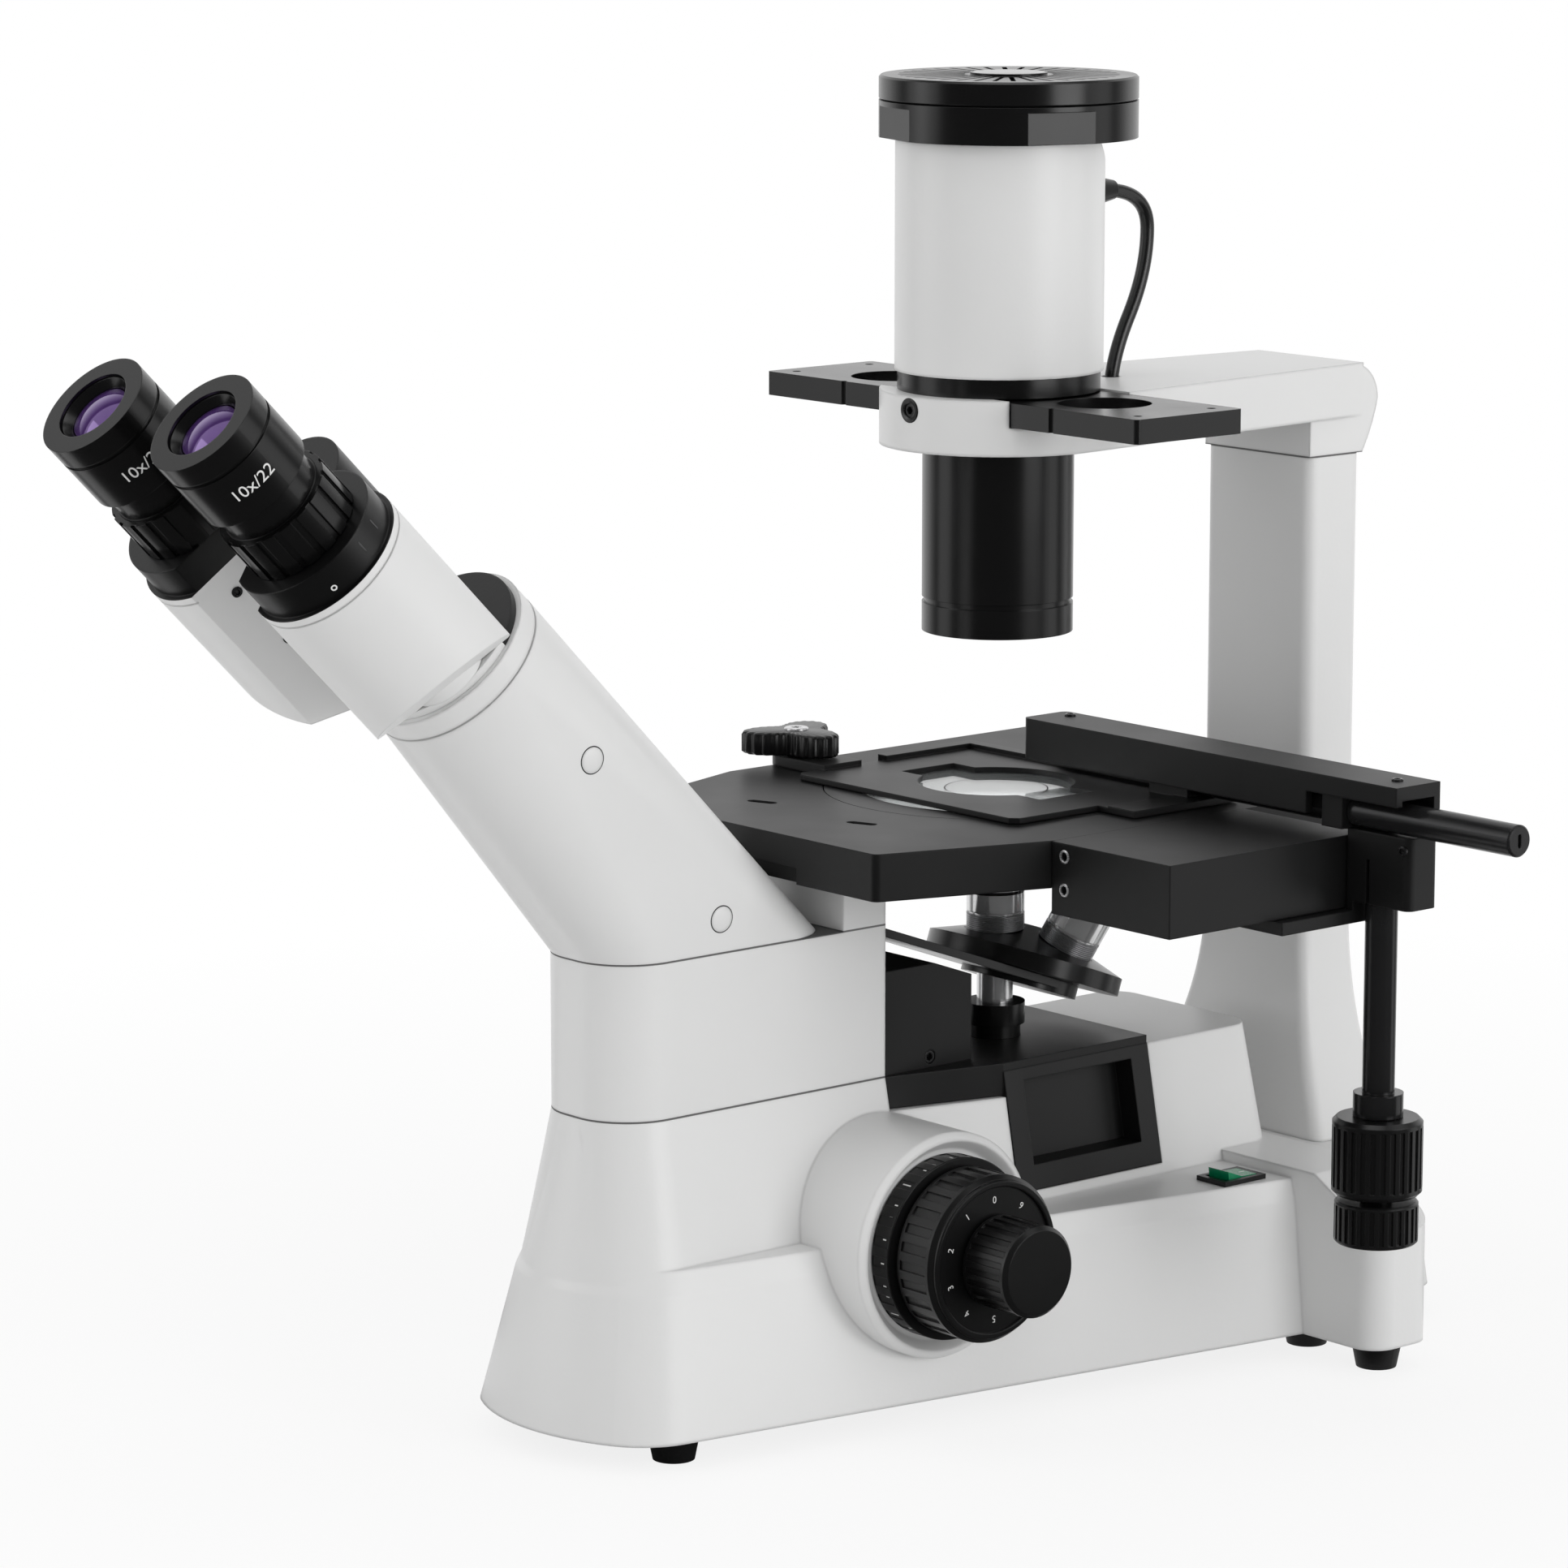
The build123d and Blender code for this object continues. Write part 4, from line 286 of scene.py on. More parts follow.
# %% Lamp lead
lead_route = [
    (0, 0.050, 0.429), (0, 0.074, 0.429), (0, 0.074, 0.398), (0, 0.056, 0.366), (0, 0.056, 0.353),
]
lead_width = 0.0052
lead_curve = bpy.data.curves.new("lamp_lead_cord", "CURVE")
lead_curve.dimensions = "3D"
run = lead_curve.splines.new("NURBS")
run.points.add(len(lead_route) - 1)
for point, place in zip(run.points, lead_route):
    point.co = (*place, 1.0)
    point.radius = lead_width / 2
run.order_u = 3
run.use_endpoint_u = True
run.resolution_u = 24
lead_curve.bevel_depth = 1.0
lead_curve.bevel_resolution = 6
lead = bpy.data.objects.new("lamp_lead_cord", lead_curve)
bpy.context.scene.collection.objects.link(lead)
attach(lead, "frame")
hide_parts("lamp_lead")
print("lead through", len(lead_route), "guide points")

# %% [markdown]
# The castings are sprayed with a satin white enamel. Up close it has a very fine orange peel, and
# the gloss differs a little from place to place. Both come from noise: coarse noise shifts the
# shade and the roughness, fine noise lifts the surface by a few hundredths of a millimetre.
# Where two castings meet there is a hair line, drawn at the height of the joint.

# %% White enamel
paint_shades = (0.755, 0.757, 0.755), (0.80, 0.80, 0.795)
line_grey = (0.17, 0.17, 0.17)
line_half = 0.00035
cloud_size, peel_size = 0.09, 0.0016


def enamel(name, joints=()):
    """Satin white paint, with a fine dark line at the heights where castings meet."""
    material, shader, here = finish(name)
    colour = blend(grain(here, cloud_size, 3.0), *paint_shades)
    rough = 0.34 + 0.10 * grain(here, 0.03)
    height = along(here, origin, upright)
    for level in joints:
        line = near(height, level, line_half)
        colour = blend(line, colour, line_grey)
        rough = rough + 0.3 * line
    here.feed(shader.inputs["Base Color"], colour)
    here.feed(shader.inputs["Roughness"], rough)
    here.feed(shader.inputs["Normal"], relief(grain(here, peel_size), 0.00003, 0.0020))
    shader.inputs["Coat Weight"].default_value = 0.15
    shader.inputs["Coat Roughness"].default_value = 0.25
    return material


base_top, neck_top, arm_foot = 0.119, 0.175, 0.326
casting_enamel = enamel("casting_enamel", (base_top, neck_top))
pillar_enamel = enamel("pillar_enamel", (arm_foot,))
plain_enamel = enamel("plain_enamel")
print("three coats of enamel")

# %% [markdown]
# Turned and milled parts are anodised black: the lamp cap, the condenser and the eyepieces have a
# smooth satin sheen that runs down them in long streaks, and the stage is blasted first, so it
# only shows a soft grey bloom at a low angle. Moulded knobs lie between the two, with a fine grain.
# All of them are nearly black themselves. What is seen is the light on the skin, so the colour
# stays low and the sheen does the work.

# %% Black finishes
blue_cast = 1.03


def dark_skin(name, low, high, rough, tooth, depth, shine=0.5, edge=0.0008):
    """A dark finish whose shade, sheen and fine relief vary a little."""
    material, shader, here = finish(name)
    cloud = grain(here, 0.03, 3.0)
    shades = [(level, level, level * blue_cast) for level in (low, high)]
    here.feed(shader.inputs["Base Color"], blend(cloud, *shades))
    here.feed(shader.inputs["Roughness"], rough - 0.05 + 0.10 * cloud)
    here.feed(shader.inputs["Normal"], relief(grain(here, tooth, 1.0), depth, edge))
    shader.inputs["Specular IOR Level"].default_value = shine
    return material


black_anodised = dark_skin("black_anodised", 0.003, 0.005, 0.24, 0.0006, 0.000002, 0.5, 0.0004)
blasted_black = dark_skin("blasted_black", 0.006, 0.010, 0.42, 0.0005, 0.000015, 0.36)
black_plastic = dark_skin("black_plastic", 0.004, 0.007, 0.30, 0.0007, 0.000008, 0.45, 0.0005)
lead_skin = dark_skin("lead_skin", 0.005, 0.009, 0.22, 0.0010, 0.000010, 0.6)
black_rubber = dark_skin("black_rubber", 0.005, 0.009, 0.55, 0.0008, 0.000040, 0.20)
blackened_steel = dark_skin("blackened_steel", 0.020, 0.035, 0.20, 0.0020, 0.000010)
blackened_steel.node_tree.nodes["Principled BSDF"].inputs["Metallic"].default_value = 0.6
print("six black finishes")

# %% [markdown]
# The two eyepiece housings are one casting each, painted white, with a black collar on top. The
# paint could be split by faces, but the edge is a plain height along the slanted tube, so the
# shader measures how far a place lies along that tube and changes its finish there. The plate that
# the housings swing on is white at the front and black at the back and top.

# %% Eyepiece housings
slant = radians(45.0)
tube_top = Vector((0, -0.249, 0.284))
tube_axis = Vector((0, -sin(slant), cos(slant)))
tube_side = Vector((1, 0, 0))
tube_up = tube_axis.cross(tube_side)
collar_level = 0.0888
plate_level, plate_lip = 0.0205, 0.006
collar_black = (0.004, 0.004, 0.0042)


def two_tone(name, level, lip=0.0):
    """White below a level along the slanted tube and black above it, or above a lip at the back."""
    material, shader, here = finish(name)
    black = along(here, tube_top, tube_axis) > level
    if lip:
        black = 1.0 - (1.0 - black) * (1.0 - (along(here, tube_top, tube_up) > lip))
    cloud = grain(here, cloud_size, 3.0)
    here.feed(shader.inputs["Base Color"], blend(black, blend(cloud, *paint_shades), collar_black))
    here.feed(shader.inputs["Roughness"], 0.36 + 0.08 * cloud - 0.04 * black)
    here.feed(shader.inputs["Normal"], relief(grain(here, peel_size), 0.00002))
    return material


cheek_enamel = two_tone("cheek_enamel", collar_level - 0.0002)
pivot_enamel = two_tone("pivot_enamel", plate_level, plate_lip)
print("housings change colour", round(collar_level * 1000, 1), "mm up the tube")

# %% [markdown]
# Bright parts: the light tube and the objectives are turned metal, plated. Turning leaves rings,
# so the roughness and the normal follow fine waves along the part's own axis.

# %% Bright metal
def waves(height, pitch):
    """Even waves from -1 to 1 along a height."""
    return height.node("ShaderNodeMath", {"operation": "SINE"}, {0: height * (2 * pi / pitch)})


def turned(name, foot, axis, colour=(0.80, 0.80, 0.81), rough=0.14, pitch=0.0006):
    """Bright turned metal with fine rings across its axis."""
    material, shader, here = finish(name)
    ring = waves(along(here, foot, axis), pitch)
    cloud = grain(here, 0.012)
    here.feed(shader.inputs["Base Color"], blend(cloud, tuple(0.9 * c for c in colour), colour))
    here.feed(shader.inputs["Roughness"], rough + 0.08 * cloud + 0.03 * ring)
    here.feed(shader.inputs["Normal"], relief(ring, 0.000006))
    shader.inputs["Metallic"].default_value = 0.85
    return material


bright_tube = turned("bright_tube", origin, upright)
print("turned metal ready")

# %% [markdown]
# Each objective screws into the turret: a dark knurled grip ring at its foot, a plated barrel, a
# coloured magnification ring and a tapered nose. The bands are heights along the objective's own
# axis, so one function paints all four from where each one stands in the turret.

# %% Objectives
turret_tilt = radians(20.0)
turret_centre = Vector((0, 0.0134, 0.1412))
turret_axis = Vector((0, sin(turret_tilt), cos(turret_tilt)))
turret_fore = turret_axis.cross(Vector((1, 0, 0)))
turret_radius, turret_rim, seat_radius, seat_sink = 0.037, 0.0065, 0.019, 0.0006
seat_rise = turret_rim + (turret_radius - seat_radius) * sin(turret_tilt) / cos(turret_tilt)
grip_height, grip_pitch = 0.0060, 0.0007
band_back, band_half = 0.0125, 0.0008
groove_back, groove_half = 0.0155, 0.0006


def objective_line(turn):
    """Foot and direction of the objective at an angle round the turret."""
    out = Vector((1, 0, 0)) * cos(radians(turn)) + turret_fore * sin(radians(turn))
    foot = turret_centre + out * seat_radius + turret_axis * (seat_rise - seat_sink)
    return foot, (out * sin(turret_tilt) + turret_axis * cos(turret_tilt)).normalized()


def objective_finish(name, turn, length, band):
    """Plated barrel with a dark grip ring, one coloured band, and painted shade for a groove."""
    foot, axis = objective_line(turn)
    material, shader, here = finish(name)
    height = along(here, foot, axis)
    grip = height < grip_height
    colour_ring = near(height, length - band_back, band_half)
    # The groove is not cut: its shade is painted as a near-black ring on the barrel.
    groove_shade = near(height, length - groove_back, groove_half)
    cloud = grain(here, 0.012)
    metal = blend(cloud, (0.74, 0.74, 0.75), (0.84, 0.84, 0.84))
    metal = blend(grip, metal, (0.34, 0.34, 0.35))
    metal = blend(groove_shade, metal, (0.02, 0.02, 0.02))
    here.feed(shader.inputs["Base Color"], blend(colour_ring, metal, band))
    here.feed(shader.inputs["Metallic"], 0.82 - 0.82 * colour_ring)
    here.feed(shader.inputs["Roughness"], 0.10 + 0.08 * cloud + 0.16 * grip)
    here.feed(shader.inputs["Normal"], relief(waves(height, grip_pitch) * grip, 0.00006))
    return material


objective_bands = {
    "scanning_objective": (-90, 0.030, (0.45, 0.02, 0.02)),
    "low_power_objective": (0, 0.034, (0.75, 0.55, 0.03)),
    "medium_power_objective": (90, 0.038, (0.03, 0.30, 0.06)),
    "high_power_objective": (180, 0.041, (0.05, 0.20, 0.55)),
}
objective_paint = {
    node: objective_finish(f"{node}_plate", *facts) for node, facts in objective_bands.items()
}
print(len(objective_paint), "objectives painted")

# %% [markdown]
# Glass, mirror, green rocker and white ink differ only in their numbers: one cloudy noise shifts
# the colour and the roughness, and the rest is constant. Clear glass has a faint haze, so that it
# isn't invisible. The stage's round insert is one disc in the solids. Its middle is clear, with
# one etched circle, and its rim is painted black, so two shaders are mixed by the distance from
# the centre.

# %% Glass, mirror, rocker and ink
def cloudy(name, size, low, high, rough, spread, constants):
    """A finish whose colour and roughness follow one noise."""
    material, shader, here = finish(name)
    cloud = grain(here, size)
    here.feed(shader.inputs["Base Color"], blend(cloud, low, high))
    here.feed(shader.inputs["Roughness"], rough + spread * cloud)
    for socket, value in constants.items():
        shader.inputs[socket].default_value = value
    return material


def clear_glass(name):
    """Transmitting glass with a faint haze."""
    constants = {"Transmission Weight": 0.85, "IOR": 1.5}
    return cloudy(name, 0.02, (0.90, 0.95, 0.95), (0.97, 0.98, 0.98), 0.02, 0.03, constants)


def framed_glass(name, radius, etched, etched_half=0.00025):
    """A clear disc with one etched circle, held in a blasted black ring."""
    material = clear_glass(name)
    nodes = material.node_tree.nodes
    glass = Wire(material.node_tree, nodes["Principled BSDF"].outputs["BSDF"])
    reach = away(glass.node("ShaderNodeTexCoord", output="Object"), origin, upright)
    black = {"Base Color": (0.012, 0.012, 0.0125, 1), "Roughness": 0.45}
    ring = glass.node("ShaderNodeBsdfPrincipled", None, black, "BSDF")
    dark = 1.0 - (1.0 - (reach > radius)) * (1.0 - near(reach, etched, etched_half))
    mixed = glass.node("ShaderNodeMixShader", None, {0: dark, 1: glass, 2: ring})
    glass.feed(nodes["Material Output"].inputs["Surface"], mixed)
    return material


violet_coat = {
    "Specular Tint": (0.62, 0.36, 1.0, 1.0), "IOR": 2.1, "Coat Weight": 0.6, "Coat Roughness": 0.04,
}
violet_shades = (0.04, 0.016, 0.09), (0.10, 0.04, 0.20)
silver = (0.86, 0.87, 0.87), (0.92, 0.92, 0.92)
green = (0.0, 0.21, 0.085), (0.0, 0.28, 0.12)
lens_glass = clear_glass("lens_glass")
stage_glass = framed_glass("stage_glass", 0.0500, 0.0190)
eye_coating = cloudy("eye_coating", 0.006, *violet_shades, 0.05, 0.04, violet_coat)
mirror_silver = cloudy("mirror_silver", 0.02, *silver, 0.02, 0.03, {"Metallic": 1.0})
rocker_green = cloudy("rocker_green", 0.008, *green, 0.22, 0.08, {"Coat Weight": 0.4})
ink = cloudy("white_ink", 0.0008, (0.70, 0.70, 0.69), (0.86, 0.86, 0.85), 0.45, 0.2, {})
print("glass, mirror, rocker and ink")

# %% [markdown]
# Every solid now gets its finish. A table of finishes and the pieces that wear them is easier to
# check than sixty single lines, and the loop stops if a piece was forgotten.

# %% Dress the solids
wardrobe = {
    casting_enamel: ["base_casting", "neck_block", "viewing_tube"],
    pillar_enamel: ["pillar", "lamp_arm"],
    plain_enamel: ["lamp_body"],
    cheek_enamel: ["right_cheek", "left_cheek"],
    pivot_enamel: ["head_pivot_plate"],
    black_anodised: [
        "right_diopter_ring", "left_diopter_ring", "right_eyepiece", "left_eyepiece", "lamp_collar",
        "cap_ring", "vent_lid", "condenser_barrel", "phase_slider",
        "light_tube_socket", "nosepiece_turret", "nosepiece_carrier",
    ],
    blasted_black: [
        "stage_plate", "drive_housing", "x_rail", "stage_carriage", "specimen_holder", "deck_cover",
        "focus_block",
    ],
    black_plastic: [
        "clamp_knob", "y_knob", "x_knob", "tension_ring", "coarse_knobs", "fine_knobs",
        "switch_bezel", "brightness_knob", "power_inlet", "lamp_holder", "lead_gland",
    ],
    black_rubber: ["rubber_feet", "lamp_lead"],
    blackened_steel: ["drop_shaft", "x_guide_rod", "fine_shaft", "socket_screws", "base_plate"],
    bright_tube: ["light_tube"],
    lens_glass: ["tube_lens", "collector_lens", "condenser_lens", "lamp_bulb"],
    stage_glass: ["stage_insert"],
    eye_coating: ["right_eye_lens", "left_eye_lens"],
    mirror_silver: ["base_mirror"],
    rocker_green: ["rocker"],
}
for node, paint in objective_paint.items():
    wardrobe[paint] = [node]
dressed = set()
for paint, names in wardrobe.items():
    for name in names:
        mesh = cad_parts[name].data
        mesh.materials.clear()
        mesh.materials.append(paint)
        dressed.add(name)
assert dressed == set(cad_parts), set(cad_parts) ^ dressed
lead_curve.materials.append(lead_skin)
print(len(dressed), "pieces dressed")

# %% [markdown]
# The solids stop at the main shapes. What makes an instrument look used by people is smaller:
# engraved numbers, screws, plugs, the coated eye lenses, the ribs of a knob. Each of these sits on
# a solid, so a probe finds the spot: a straight line is sent at the solid, and gives the place
# where it lands and the way the surface faces there. That holds from every side, unlike placing
# by eye in one picture.

# %% Tools for small pieces
hands = ((1, "right"), (-1, "left"))


def touch(node, start, aim):
    """Where a straight probe meets a solid, and the way its surface faces there."""
    skin = BVHTree.FromObject(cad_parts[node], bpy.context.evaluated_depsgraph_get())
    place, facing = skin.ray_cast(Vector(start), Vector(aim).normalized())[:2]
    assert place is not None, (node, start)
    return place, facing


def stand(place, up, right=(1, 0, 0)):
    """A set of axes at a place: the third is up, the first leans towards right."""
    third = Vector(up).normalized()
    first = Vector(right) - third * third.dot(Vector(right))
    first = first.normalized() if first.length > 1e-6 else third.orthogonal().normalized()
    turn = Matrix((first, third.cross(first), third)).transposed()
    return Matrix.Translation(place) @ turn.to_4x4()


def lathe(outline, turns=48, closed=False, form=None):
    """A round body from (radius, height) pairs; form changes a radius by the angle."""
    shape = bmesh.new()
    rings = []
    for radius, height in outline:
        if radius == 0.0:
            rings.append([shape.verts.new((0, 0, height))])
            continue
        spin = [2 * pi * step / turns for step in range(turns)]
        reach = [radius * (form(a) if form else 1.0) for a in spin]
        points = [(r * cos(a), r * sin(a), height) for a, r in zip(spin, reach)]
        rings.append([shape.verts.new(point) for point in points])
    if closed:
        rings.append(rings[0])
    for low, high in zip(rings, rings[1:]):
        for step in range(turns):
            after = step + 1
            loop = ((low, step), (low, after), (high, after), (high, step))
            corners = [ring[k % len(ring)] for ring, k in loop]
            shape.faces.new(list(dict.fromkeys(corners)))
    return shape


def join(shape, extra):
    """Add another shape's faces to a shape."""
    carry = bpy.data.meshes.new("carry")
    extra.to_mesh(carry)
    extra.free()
    shape.from_mesh(carry)
    bpy.data.meshes.remove(carry)


def piece(name, shape, paint, body, place=Matrix(), crease=35.0):
    """Make a shape into a named object that moves with a body."""
    bmesh.ops.transform(shape, matrix=place, verts=shape.verts)
    bmesh.ops.recalc_face_normals(shape, faces=shape.faces)
    for face in shape.faces:
        face.smooth = True
    mesh = bpy.data.meshes.new(name)
    shape.to_mesh(mesh)
    shape.free()
    mesh.set_sharp_from_angle(angle=radians(crease))
    mesh.materials.append(paint)
    made = bpy.data.objects.new(name, mesh)
    bpy.context.scene.collection.objects.link(made)
    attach(made, body)
    return made


print("probe, lathe and piece ready")

# %% [markdown]
# The eye lens is a shallow dome with a violet coating, held by a black threaded ring with a
# sloping face. The solid is only a flat disc, so a dome and a ring take its place. Both are turned
# shapes, so a profile spun round the eyepiece's axis is the shortest way to make them.

# %% Eye lenses
eye_spread = 0.031
eye_drop = -0.0205
far_off = 0.3
eye_radius, eye_rise, eye_foot = 0.0106, 0.0048, -0.002
holder = [
    (0.01345, 0.0046), (0.0131, 0.0049), (0.0112, 0.0024), (0.0108, 0.0016),
    (0.0108, eye_foot), (0.01345, eye_foot),
]


def eye_axis(side):
    """A place on an eyepiece's axis, at the level of the slanted tube's top."""
    return tube_top + tube_side * (side * eye_spread) + tube_up * eye_drop


def dome(radius, rise, foot, steps=7):
    """A profile that goes up a short wall and over a shallow cap to the axis."""
    shares = [1 - k / steps for k in range(steps)]
    cap = [(radius * share, rise * (1 - 0.6 * share ** 2)) for share in shares]
    return [(radius, foot)] + cap + [(0.0, rise)]


for side, name in hands:
    top = touch(f"{name}_eye_lens", eye_axis(side) + tube_axis * far_off, -tube_axis)[0]
    axes = stand(top, tube_axis)
    lens = lathe(dome(eye_radius, eye_rise, eye_foot))
    glass = piece(f"{name}_eye_dome", lens, eye_coating, f"{name}_ocular", axes)
    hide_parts(f"{name}_eye_lens")
    ring = lathe(holder, closed=True)
    piece(f"{name}_lens_ring", ring, black_anodised, f"{name}_ocular", axes)
    print(name, "eye lens at", [round(v, 4) for v in top])

# %% [markdown]
# Numbers are engraved and filled with white paint. Blender's text gives the outlines, and on a
# round barrel each point is wrapped: how far along the line of text becomes an angle. The paint
# stands a tenth of a millimetre proud, so that no facet of the barrel cuts through a letter.

# %% White lettering
ink_thick = 0.00012


def letters(words, size):
    """Words as a thin flat shape round the middle of their own line."""
    line = bpy.data.curves.new("line_of_text", "FONT")
    line.body = words
    line.size = size
    line.align_x = "CENTER"
    line.align_y = "CENTER"
    line.extrude = ink_thick / 2
    line.resolution_u = 4
    holder = bpy.data.objects.new("line_of_text", line)
    flat = bpy.data.meshes.new_from_object(holder)
    shape = bmesh.new()
    shape.from_mesh(flat)
    bpy.data.objects.remove(holder)
    bpy.data.curves.remove(line)
    bpy.data.meshes.remove(flat)
    return shape


def wrap(shape, radius):
    """Bend a flat shape round the third axis: its x goes round, its y goes up."""
    for point in shape.verts:
        turn, reach = point.co.x / radius, radius + point.co.z
        point.co = (reach * cos(turn), reach * sin(turn), point.co.y)
    return shape


def outward(turn):
    """The way out from an eyepiece's axis, at an angle in degrees round it."""
    return tube_side * cos(radians(turn)) + tube_up * sin(radians(turn))


barrel_radius = 0.0202
number_level, number_turn, number_size = 0.1375, -24.0, 0.0062
for side, name in hands:
    axes = stand(eye_axis(side) + tube_axis * number_level, tube_axis, outward(number_turn))
    power = wrap(letters("10x/22", number_size), barrel_radius + ink_thick)
    piece(f"{name}_eyepiece_power", power, ink, f"{name}_ocular", axes)
print("numbers on both eyepieces")

# %% [markdown]
# A few more marks: the dot on the right collar where the dioptre is zero, and the index lines
# beside it. A mark is a thin plate with a sloping rim, and a scale is many such plates in one
# mesh, wrapped or laid flat like the letters.

# %% Index marks
faint_line = dark_skin("faint_line", 0.06, 0.10, 0.4, 0.0006, 0.000006, 0.3)


def plates(sizes, thick=ink_thick):
    """Thin plates with sloping rims, from (x, y, width, height), as one shape."""
    shape = bmesh.new()
    for x, y, width, height in sizes:
        rings = []
        for inset, level in ((0.0, -thick), (0.0, thick / 4), (thick / 2, thick / 2)):
            half, tall = width / 2 - inset, height / 2 - inset
            corners = ((-half, -tall), (half, -tall), (half, tall), (-half, tall))
            rings.append([shape.verts.new((x + a, y + b, level)) for a, b in corners])
        for low, high in zip(rings, rings[1:]):
            for k in range(4):
                shape.faces.new((low[k], low[(k + 1) % 4], high[(k + 1) % 4], high[k]))
        shape.faces.new(rings[-1])
        shape.faces.new(rings[0][::-1])
    return shape


collar_radius = 0.0262
dot_level, dot_turn = 0.0925, -31.0
dot = [(0.0011, -0.0002), (0.0011, 0.00010), (0.0006, 0.00010), (0.0006, -0.0002)]
out = outward(dot_turn)
dot_place = eye_axis(1) + tube_axis * dot_level + out * collar_radius
axes = stand(dot_place, out, tube_axis)
piece("zero_dot", lathe(dot, 20, True), ink, "right_ocular", axes)
line_level, line_turn, line_gap = 0.0955, 4.0, 0.0095
lines = plates([(x, 0.0, 0.0006, 0.0045) for x in (0.0, line_gap)])
lines = wrap(lines, collar_radius + 0.00003)
axes = stand(eye_axis(1) + tube_axis * line_level, tube_axis, outward(line_turn))
piece("collar_lines", lines, faint_line, "right_ocular", axes)
print("dot and lines on the right collar")

# %% [markdown]
# The focus drive carries a scale: ten numbers on the face of each coarse knob, inside a raised
# rim, and a row of ticks on the tension ring behind the right one. Every fourth tick is long.

# %% Focus scale
focus_axis = Vector((0, -0.0855, 0.0665))
digit_radius, digit_size, digits = 0.0215, 0.0036, 10
rim = [
    (0.0262, -0.0004), (0.0262, 0.0009), (0.0266, 0.0013), (0.0281, 0.0013),
    (0.0286, 0.0008), (0.0286, -0.0004),
]
face_x = touch("coarse_knobs", focus_axis + Vector((far_off, 0.0, digit_radius)), (-1, 0, 0))[0].x
for side, hand in hands:
    facing = Vector((side, 0, 0))
    scale = bmesh.new()
    for number in range(digits):
        turn = radians(90 + 360 / digits * number)
        up = Vector((0, cos(turn), sin(turn)))
        place = focus_axis + facing * (face_x + 0.00005) + up * digit_radius
        axes = stand(place, facing, up.cross(facing))
        digit = letters(str(number), digit_size)
        bmesh.ops.transform(digit, matrix=axes, verts=digit.verts)
        join(scale, digit)
    piece(f"{hand}_focus_numbers", scale, ink, "coarse")
    axes = stand(focus_axis + facing * face_x, facing, (0, 0, 1))
    ring = lathe(rim, 96, True)
    piece(f"{hand}_focus_rim", ring, black_plastic, "coarse", axes)
print("focus scale at x", round(face_x, 4))

ring_place = focus_axis + Vector((0.0705, 0, 0))
ring_top = touch("tension_ring", ring_place + Vector((0, 0, 0.2)), (0, 0, -1))[0]
ring_radius = ring_top.z - focus_axis.z
tick_step = radians(7.5) * ring_radius
ticks = [
    (tick_step * k, 0.0012, 0.0005, 0.0016) if k % 4 else (tick_step * k, 0.0, 0.0005, 0.0040)
    for k in range(-24, 25)
]
marks = wrap(plates(ticks), ring_radius + 0.00004)
axes = stand(ring_place, (1, 0, 0), (0, -1, 0.4))
piece("tension_marks", marks, ink, "tension", axes)
print(len(ticks), "tension marks at radius", round(ring_radius, 4))

# %% [markdown]
# The clamp knob that holds the specimen plate has three lobes with ribs to grip, a bright screw
# under it and a pale washer on top. Its outline is a circle whose radius swings three times per
# turn with a fine ripple added, which gives lobes and ribs in one formula.

# %% Clamp knob
clamp_place = Vector((-0.084, -0.025, 0.0))
grip_turns = 216
grip = [
    (0.0, 0.2171), (0.0192, 0.2171), (0.0204, 0.2180), (0.0204, 0.2244),
    (0.0198, 0.2252), (0.0186, 0.2256), (0.0, 0.2256),
]
washer = [
    (0.0046, 0.2254), (0.0046, 0.2261), (0.0042, 0.2264), (0.0021, 0.2264),
    (0.0019, 0.2257), (0.0, 0.2257),
]
stem = [
    (0.0039, 0.2124), (0.0039, 0.2134), (0.0034, 0.2138), (0.0034, 0.2146),
    (0.0039, 0.2150), (0.0039, 0.2160), (0.0036, 0.2172),
]


def lobes(angle):
    """Share of the full radius at an angle: three lobes with fine ribs."""
    lobe = 0.75 + 0.25 * cos(3 * angle)
    return lobe * (1.0 + 0.025 * cos(36 * angle))


clamp_steel = turned("clamp_steel", clamp_place, (0, 0, 1), rough=0.24)
axes = Matrix.Translation(clamp_place)
shape = lathe(grip, grip_turns, form=lobes)
knob = piece("clamp_grip", shape, black_plastic, "clamp", axes, 40.0)
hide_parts("clamp_knob")
piece("clamp_washer", lathe(washer, 36), clamp_steel, "clamp", axes)
piece("clamp_stem", lathe(stem, 36), clamp_steel, "clamp", axes)
print("clamp knob with", grip_turns, "points round it")

# %% [markdown]
# Round plugs close the screw holes in the slanted tube, two on each side. They are sprayed with
# the tube, so only the ring-shaped gap round each one shows, dark with shade. A low disc with a
# rounded rim in a slightly wider dark ring of painted shade gives that gap without cutting the
# solid.

# %% Plugs in the tube
# The ring round each plug is painted shade: a near-black matt finish where the gap would be.
painted_gap_shade = dark_skin("painted_gap_shade", 0.02, 0.05, 0.7, 0.0006, 0.00001, 0.2)
plug_places = (("upper", -0.2146, 0.2514), ("lower", -0.1540, 0.1874))
disc = [(0.0046, -0.0006), (0.0046, 0.00015), (0.0043, 0.00032), (0.0, 0.00036)]
gap = [(0.0045, -0.0005), (0.0045, 0.00006), (0.0050, 0.00006), (0.0050, -0.0005)]
for side, hand in hands:
    for label, y, z in plug_places:
        place, facing = touch("viewing_tube", (side * 0.2, y, z), (-side, 0, 0))
        axes = stand(place, facing, (0, 0, 1))
        name = f"{hand}_{label}_plug"
        piece(name, lathe(disc, 40), plain_enamel, "frame", axes)
        piece(f"{name}_gap", lathe(gap, 40, True), painted_gap_shade, "frame", axes)
print(len(hands) * len(plug_places), "plugs")

